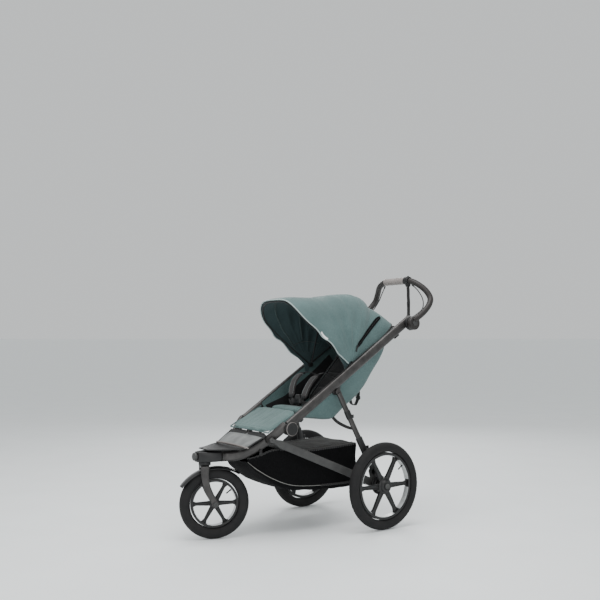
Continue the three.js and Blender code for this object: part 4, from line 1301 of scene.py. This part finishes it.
# ---- Seat ----
RECLINE_UP, RECLINE_OUT = Vector((0, 0.682, 0.731)), Vector((0, -0.731, 0.682))
BACK_FOOT = Vector((0, -118, 544))
RECLINE_BLEND = ((0, -387.4, 361.5), (0, -328.9, 306.9))   # where the shell leaves the frame
APRON_HALF = 171
SHELL = [(-348, 546), (-340, 528), (-318, 519), (-266, 514), (-207, 506), (-165, 507),
         (-134, 529), (-93, 560), (-35, 598), (24, 650), (72, 714), (121, 777), (148, 822),
         (163, 866)]


def back_point(x, along, depth):
    return BACK_FOOT + RECLINE_UP * along + RECLINE_OUT * depth + Vector((x, 0, 0))


def soft_block(point, length, half, depth, name, look, square=4.5, rows=22):
    """A rounded block: point(x, along, depth) places it; its ends close smoothly."""
    rings = []
    for i in range(rows + 1):
        f = i / rows
        k = max(0.05, (1 - abs(2 * f - 1) ** 9)) ** 0.3
        rings.append([point(x * k, length * f, depth / 2 + d * k)
                      for x, d in oval(2 * half, depth, 44, square)])
    build = Build()
    build.rings(rings)
    return build.object(name, look, sharp=180)


def seat_pads():
    pad = soft_block(lambda x, a, d: back_point(x, a + 6, d + 3), 388, 136, 34, "seat_back_pad",
                     TEAL_PAD)
    swell(pad, 5.5, 7)
    def sewn_back(p, n):
        along = (p - BACK_FOOT).dot(RECLINE_UP)
        front = max(0, n.dot(RECLINE_OUT))
        d = 5 * groove(abs(p.x) - 88, 5) * front
        if abs(p.x) < 88:
            for at in (95, 190, 285):
                d += 3 * groove(along - at, 5) * front
        for at in (52, 330):
            d += 2 * groove(along - at, 6) * front * (abs(p.x) >= 88)
        return -n * d + n * ruffle(p, 1.2, 0.02)
    shape_by(pad, sewn_back)
    recolour(pad, [TEAL_PAD, BLACK_MESH],
             lambda c, n: int(abs(c.x) < 112 and n.dot(RECLINE_OUT) > 0.1))
    finish_piece(pad, "seat_back", "fabric_teal", "seat_back")
    thread = Build()
    for s in (1, -1):
        line = [back_point(s * 93, a, 43.5) for a in np.linspace(40, 360, 9)]
        thread.stitch(line, pitch=6, length=4)
    thread.piece("seat_back_stitching", PIPING, "seat_back", "fabric_teal")

    top = lambda x, a, d: Vector((x, -346 + a, 524 + d - 0.014 * a + 4 *
                                  cos(pi * min(1, a / 170))))
    base = soft_block(top, 176, 139, 30, "seat_base_pad", TEAL_PAD)
    swell(base, 5.5, 6)
    def sewn_base(p, n):
        up = max(0, n.z)
        d = 3.5 * groove(abs(p.x) - 92, 5) * up + 2.5 * groove(p.y + 262, 5) * up * \
            (abs(p.x) < 92)
        return -n * d + n * ruffle(p, 1.2, 0.02)
    shape_by(base, sewn_base)
    recolour(base, [TEAL_PAD, BLACK_MESH],
             lambda c, n: int(abs(c.x) < 91 and n.z > 0.3 and c.y > -290))
    finish_piece(base, "upper_frame", "fabric_teal", "seat_base")


def seat_shell():
    """The sling round the seat with its liners, edges and seams, and the apron behind it."""
    shell_rows, mesh_rows = [], {1: [], -1: []}
    profile = smooth_curve([(0, y, z) for y, z in SHELL], 64)
    half_section = [(170.5, 0.0), (170.5, 0.14), (169, 0.3), (165, 0.5), (161, 0.68), (157, 0.82),
                    (152, 0.93), (144, 0.985), (132, 1.0), (104, 1.0), (70, 1.0), (35, 1.0)]
    section = half_section + [(0, 1.0)] + [(-x, k) for x, k in reversed(half_section)]
    for i, p in enumerate(profile):
        t = heading(profile, i)
        out = Vector((0, t.z, -t.y))
        run = min(520, max(0, (p - Vector((0, -350, tube_z(-350)))).dot(TUBE_UP)))
        top_edge = Vector((0, -350, tube_z(-350))) + TUBE_UP * run + TUBE_OUT * 15
        row = []
        for x, k in section:
            q = top_edge.lerp(p, k)
            q.x = x
            if k >= 1:
                q += out * (6 * (1 - (x / 140) ** 2) + ruffle((x, p.y, p.z), 2.5, 0.016))
            else:
                q.x += copysign(ruffle((x, q.y, q.z), 9.0, 0.02), x) * (k * 2 * (1 - k))
            row.append(q)
        shell_rows.append(row)
        for s in (1, -1):
            if -322 < p.y < 90:
                mesh_rows[s].append([
                    Vector((s * (165 - 13 * k), 0, 0)) + Vector((0, 1, 0)) *
                    top_edge.lerp(p, k).y + Vector((0, 0, 1)) * top_edge.lerp(p, k).z
                    for k in (0.30, 0.42, 0.54, 0.66, 0.78, 0.90)])
    shell = sheet_grid(shell_rows, 2.0, [TEAL], "seat_shell")
    bend(shell, "upper_frame", "seat_back", *RECLINE_BLEND, "fabric_teal", "seat_side_left",
         "seat_side_right")
    for side, s in SIDES:
        liner = sheet_grid(mesh_rows[s], 1.5, [BLACK_MESH], f"seat_side_mesh_{side}")
        finish_piece(liner, "upper_frame", "fabric_black")
        strip = Build()
        edge = [shell_rows[i][0 if s > 0 else -1] + Vector((s * 2.5, 0, 0))
                for i in range(2, 65, 2)]
        strip.sweep(smooth_curve(edge, 70), oval(5, 9, 10, 3))
        strip.piece(f"seat_edge_{side}", WEBBING, "upper_frame", "fabric_black")

    seams = Build()
    for x in (96, -96):
        line = [row[section.index((104, 1.0)) if x > 0 else len(section) - 1 -
                    section.index((104, 1.0))] for row in shell_rows[4:60]]
        seams.sweep(smooth_curve(line, 80), oval(3.6, 3.2, 8))
    bend(seams.object("seat_shell_seams", TEAL), "upper_frame", "seat_back", *RECLINE_BLEND,
         "fabric_teal")

    apron_rows = []
    for i in range(15):
        f = i / 14
        y, z = 157 + 43 * f + 6 * sin(pi * f), 858 + 73 * f
        apron_rows.append([Vector((APRON_HALF * q / 14, y + 7 * (1 - (q / 14) ** 4),
                                   z + ruffle((q * 9, y, z), 2, 0.03)))
                           for q in range(-14, 15)])
    apron = sheet_grid(apron_rows, 1.8, [TEAL], "seat_back_apron")
    bend(apron, "upper_frame", "seat_back", (0, 200, 922), (0, 156, 843), "fabric_teal")


def harness():
    """Shoulder bands with their pads, lap straps, crotch buckle and crotch strap."""
    for side, s in SIDES:
        back = 22 if s > 0 else 0
        route = smooth_curve([(62, -95, 694), (60, -140, 714), (58, -196 + back, 712),
                              (55, -238 + back, 686), (52, -260 + back / 2, 640),
                              (46, -268, 588)], 60, s)
        straps = Build()
        straps.sweep(route[:40], oval(25, 2.6, 12, 4))
        straps.sweep(smooth_curve([route[-3], (s * 30, -270, 583), (s * 18, -268, 586)], 8),
                     oval(20, 2.6, 12, 4), side=(0.2, 0, 1))
        strap = straps.object(f"harness_strap_{side}", WEBBING)
        pad = Build()
        sleeve = route[26:58]
        pad.sweep(sleeve, oval(43, 12.5, 28, 3.2),
                  scale=lambda f: (min(1, 0.72 + 1.1 * sin(pi * f)),
                                   min(1, 0.35 + 2.2 * sin(pi * f))))
        cover = pad.object(f"harness_pad_{side}", PAD_CLOTH, subdivide=1, sharp=180)
        edges = Build()
        for dx in (17, -17):
            edges.stitch([p + Vector((dx, -5.8, 1.5)) for p in sleeve[3:-3]], pitch=5,
                                length=3.4, radius=0.6)
        edge = edges.object(f"harness_stitching_{side}", PIPING)
        lock = Build()
        for at, size in ((route[24], (33, 12, 9)), (route[56], (30, 15, 15))):
            lock.box(size, at)
        buckle = lock.object(f"harness_adjuster_{side}", BLACK_PLASTIC, bevel=2.4, segments=3)
        for obj, slot in ((strap, "fabric_black"), (cover, "fabric_grey"),
                          (edge, "fabric_grey"), (buckle, "black_plastic")):
            bend(obj, "upper_frame", "seat_back", (0, -268, 610), (0, -110, 700), slot)
        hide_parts(f"harness_{side}")
    lap = Build()
    for s in (1, -1):
        lap.sweep(smooth_curve([(18, -266, 584), (60, -262, 574), (108, -236, 574),
                                (138, -196, 582)], 30, s), oval(3, 24, 12, 4), side=(0, 1, 0.3))
    lap.piece("harness_lap_straps", WEBBING, "upper_frame", "fabric_black")

    buckle = Build()
    shield = [(-20, 566), (20, 566), (23, 578), (23, 600), (17, 614), (-17, 614), (-23, 600),
              (-23, 578)]
    buckle.rings([[(x * k, y, 590 + (z - 590) * k) for x, z in shield]
                  for y, k in ((-270, 0.78), (-268, 0.92), (-264, 1), (-258, 1), (-255, 0.94))])
    buckle.turn = Matrix.Translation((0, -270, 594)) @ Matrix.Rotation(-pi / 2, 4, "Z")
    buckle.lathe([(0.01, 0), (9, 0), (9.6, 1), (8.6, 2.6), (0.01, 3)], (-1, 0, 0), 32)
    buckle.turn = Matrix.Identity(4)
    buckle.piece("crotch_buckle_shield", BLACK_PLASTIC, "upper_frame", "black_plastic",
                 "crotch_buckle", bevel=1.6, segments=3)
    tail = Build()
    tail.sweep(smooth_curve([(0, -262, 572), (0, -262, 564), (0, -258, 556)], 6),
               oval(26, 3, 12, 4))
    tail.piece("crotch_strap", WEBBING, "upper_frame", "fabric_black")


def seat_straps():
    recline = Build()
    recline.sweep(smooth_curve([(52, 44, 668), (54, 62, 640), (54, 66, 606), (52, 60, 574),
                                (50, 46, 552), (48, 26, 560), (50, 14, 600)], 40),
                  oval(24, 2.6, 12, 4))
    recline.piece("recline_strap", WEBBING, "seat_back", "fabric_black")
    ring = Build()
    ring.sweep(smooth_curve([(38, 63, 598), (38, 66, 584), (52, 68, 578), (66, 66, 584),
                             (66, 63, 598), (52, 61, 604), (38, 63, 598)], 40), oval(5, 5, 10),
               side=(0, 1, 0))
    ring.box((20, 8, 16), (51, 62, 620))
    ring.piece("recline_strap_ring", GREY_METAL, "seat_back", "grey_metal")
    for side, s in SIDES:
        tether = Build()
        tether.sweep(smooth_curve([(148, -166, 510), (152, -148, 492),
                                   (164, -122, 474), (190, -103, 462),
                                   (222, -98, 460)], 30, s), oval(16, 3, 12, 4), side=(0, 1, 1))
        bend(tether.object(f"leg_tether_{side}", WEBBING), "upper_frame", "rear_legs",
             (s * 150, -160, 505), (s * 218, -98, 462), "fabric_black")


# ---- Leg rest ----
LEG_REST_BLEND = ((0, -515, 470), (0, -380, 550))


def leg_rest():
    front, rear = Vector((0, -531, 466)), Vector((0, -364, 552))
    along = (rear - front).normalized()
    out = Vector((0, -along.z, along.y))
    length = (rear - front).length
    def point(x, a, d):
        sag = -5 * sin(pi * a / length)
        return front + along * a + out * (d + sag * 0.4) + Vector((x, 0, 0))
    pad = soft_block(lambda x, a, d: point(x, a - 11, d), length + 7,
                     161, 8.5, "leg_rest_pad",
                     TEAL_PAD, square=5, rows=26)
    swell(pad, 4, 5)
    def pleats(p, n):
        f = (p - front).dot(along) / length
        up = max(0, n.dot(out))
        wave = sum(1.1 * groove(p.x - c - 10 * (f - 0.5), 7) for c in (-96, -52, -12, 30, 74))
        tuck = 1.8 * groove(f - 0.93, 0.025) + 1.4 * groove(f - 0.06, 0.02)
        return n * (up * (ruffle((p.x, p.y * 0.5, p.z), 2.4, 0.02) - wave - tuck))
    shape_by(pad, pleats)
    bend(pad, "front_frame", "upper_frame", *LEG_REST_BLEND, "fabric_teal", "leg_rest_fabric")
    edges = Build()
    for s in (1, -1):
        edges.sweep(smooth_curve([point(s * (165 - 1 * a / length), a, 4 + 1.2 * sin(a * 0.06))
                                  for a in np.linspace(-7, length - 2, 9)], 40), oval(4, 6, 10))
    edges.sweep(smooth_curve([point(x, -8, 5 - 0.00012 * x * x) for x in
                              np.linspace(-164, 164, 9)], 60), oval(4, 6, 10), side=(0, 1, 0))
    bend(edges.object("leg_rest_binding", TEAL), "front_frame", "upper_frame",
         *LEG_REST_BLEND, "fabric_teal")


# ---- Basket ----
BASKET = [(-600, 346, 333, 90), (-582, 352, 309, 112), (-560, 362, 288, 128),
          (-500, 384, 246, 147), (-410, 376, 209, 151), (-300, 368, 194, 152),
          (-160, 372, 188, 152), (-60, 377, 188, 152), (-30, 380, 190, 151)]
BASKET_LINE = smooth_curve([(y, rim, floor) for y, rim, floor, _ in BASKET], 60)


def basket_half(y):
    return float(np.interp(y, [r[0] for r in BASKET], [r[3] for r in BASKET]))


def basket_section(y, rim, floor, inset=0.0):
    half = basket_half(y) - inset
    slack = 7 * sin(pi * min(1, max(0, (y + 600) / 560)))
    out = []
    for x, z in ((1.0, 1.0), (0.995, 0.94), (0.975, 0.8), (0.965, 0.62), (0.97, 0.42),
                 (0.985, 0.22), (1.0, 0.08), (0.985, 0.0), (0.93, -0.035), (0.8, -0.055),
                 (0.6, -0.07), (0.4, -0.08), (0.2, -0.085), (0.0, -0.085)):
        across, up = half * x, floor + inset * (z < 0.5) + (rim - floor) * z
        if 0.1 < z < 0.95:
            across -= slack * sin(pi * z) * 0.6
            across += ruffle((y, up, 3), 5.0, 0.016)
        if z <= 0:
            up += ruffle((across, y, 9), 4.0, 0.018)
        if z > 0.93:
            across += 1.6 * sin(y * TAU / 13) * (z - 0.9) * 10
            up += 1.4 * sin(y * TAU / 13 + 1)
        out.append(Vector((across, y, up)))
    return out + [Vector((-p.x, p.y, p.z)) for p in reversed(out[:-1])]


def basket_bend(obj, slot, *nodes):
    return bend(obj, "front_frame", "carriage", (0, -500, 380), (0, -60, 200), slot, *nodes)


def basket():
    """The tub with its piping and elastic, the zipped lid and the hangers."""
    fine = smooth_curve(BASKET_LINE, 170)
    rows = [basket_section(*p) for p in fine]
    rear = []
    for k in range(1, 7):
        f = k / 7
        row = rows[-1]
        rear.append([Vector((p.x * (1 - 0.25 * f ** 3), -30 + 4 * f, p.z + (row[0].z - p.z) *
                             f * 0.98)) for p in row])
    tub = sheet_grid(rows + rear, 1.8, [BLACK_CLOTH], "basket_tub")
    basket_bend(tub, "fabric_black", "basket")

    piping, hem = Build(), Build()
    for s in (1, -1):
        i = 6 if s > 0 else len(rows[0]) - 7
        line = [r[i] + Vector((s * 1.6, 0, -1)) for r in rows]
        piping.sweep(smooth_curve(line[:118], 150), oval(2.8, 2.8, 10))
        wavy = [p + Vector((s * 1.2, 0, 2.8 * sin(p.y * TAU / 13)))
                for p in smooth_curve(line[112:], 130)]
        hem.sweep(wavy, oval(4.6, 6.4, 10, 3))
        top = [r[0 if s > 0 else -1] for r in rows]
        hem.sweep(smooth_curve(top, 260), oval(5, 9, 10, 3))
    basket_bend(piping.object("basket_piping", GREY_PIPING), "fabric_grey")
    basket_bend(hem.object("basket_elastic", WEBBING), "fabric_black")

    cover_rows = []
    for i in range(57):
        y = -474 + 444 * i / 56
        rim = float(np.interp(y, [p[0] for p in BASKET_LINE], [p[1] for p in BASKET_LINE]))
        crest = 9 * sin(pi * (y + 480) / 470)
        half = basket_half(y) - 3
        cover_rows.append([Vector((half * q / 16, y,
                                   rim + 4 + crest * (1 - (q / 16) ** 2) +
                                   ruffle((half * q / 16, y, 0), 5, 0.014) * (1 - (q / 16) ** 6)))
                           for q in range(-16, 17)])
    cover = sheet_grid(cover_rows, -1.6, [COVER_CLOTH], "basket_lid")
    basket_bend(cover, "fabric_grey", "basket_cover")
    zipper = Build()
    for column in (3, 29):
        line = [r[column] + Vector((0, 0, 1.2)) for r in cover_rows]
        zipper.sweep(smooth_curve(line, 110), oval(9, 1.8, 12, 3))
        zipper.stitch([p + Vector((0, 0, 1.0)) for p in line], pitch=2.6, length=1.3,
                             radius=1.0)
    basket_bend(zipper.object("basket_lid_zips", WEBBING), "fabric_black")

    straps = Build()
    for s in (1, -1):
        straps.sweep(smooth_curve([(122, -556, 404), (131, -556, 386),
                                   (130, -558, 362)], 12, s), oval(3, 14, 12, 4),
                     side=(1, 0, 0))
    straps.piece("basket_hangers", WEBBING, "front_frame", "fabric_black")


def floor():
    mesh = bpy.data.meshes.new("studio_floor")
    ring = [(400 * cos(TAU * k / 64), 400 * sin(TAU * k / 64), 0) for k in range(64)]
    mesh.from_pydata(ring, [], [tuple(range(64))])
    look = Look("floor_paint", roughness=0.55, specular_ior_level=0.35)
    look.colour(look.tone(look.noise(3, 4), (0.90, 0.93, 0.935, 1), (0.93, 0.96, 0.965, 1)))
    mesh.materials.append(look.material)
    link("studio_floor", mesh)


camera()
studio()
handle()
wheels()
caster()
head_and_deck()
tubes()
carriage()
canopy()
seat_pads()
seat_shell()
harness()
seat_straps()
leg_rest()
basket()
floor()
dress(["canopy_front_bow", "canopy_mid_bow", "canopy_pivot_left", "canopy_pivot_right",
       "back_cross_bar"], BLACK_PLASTIC)
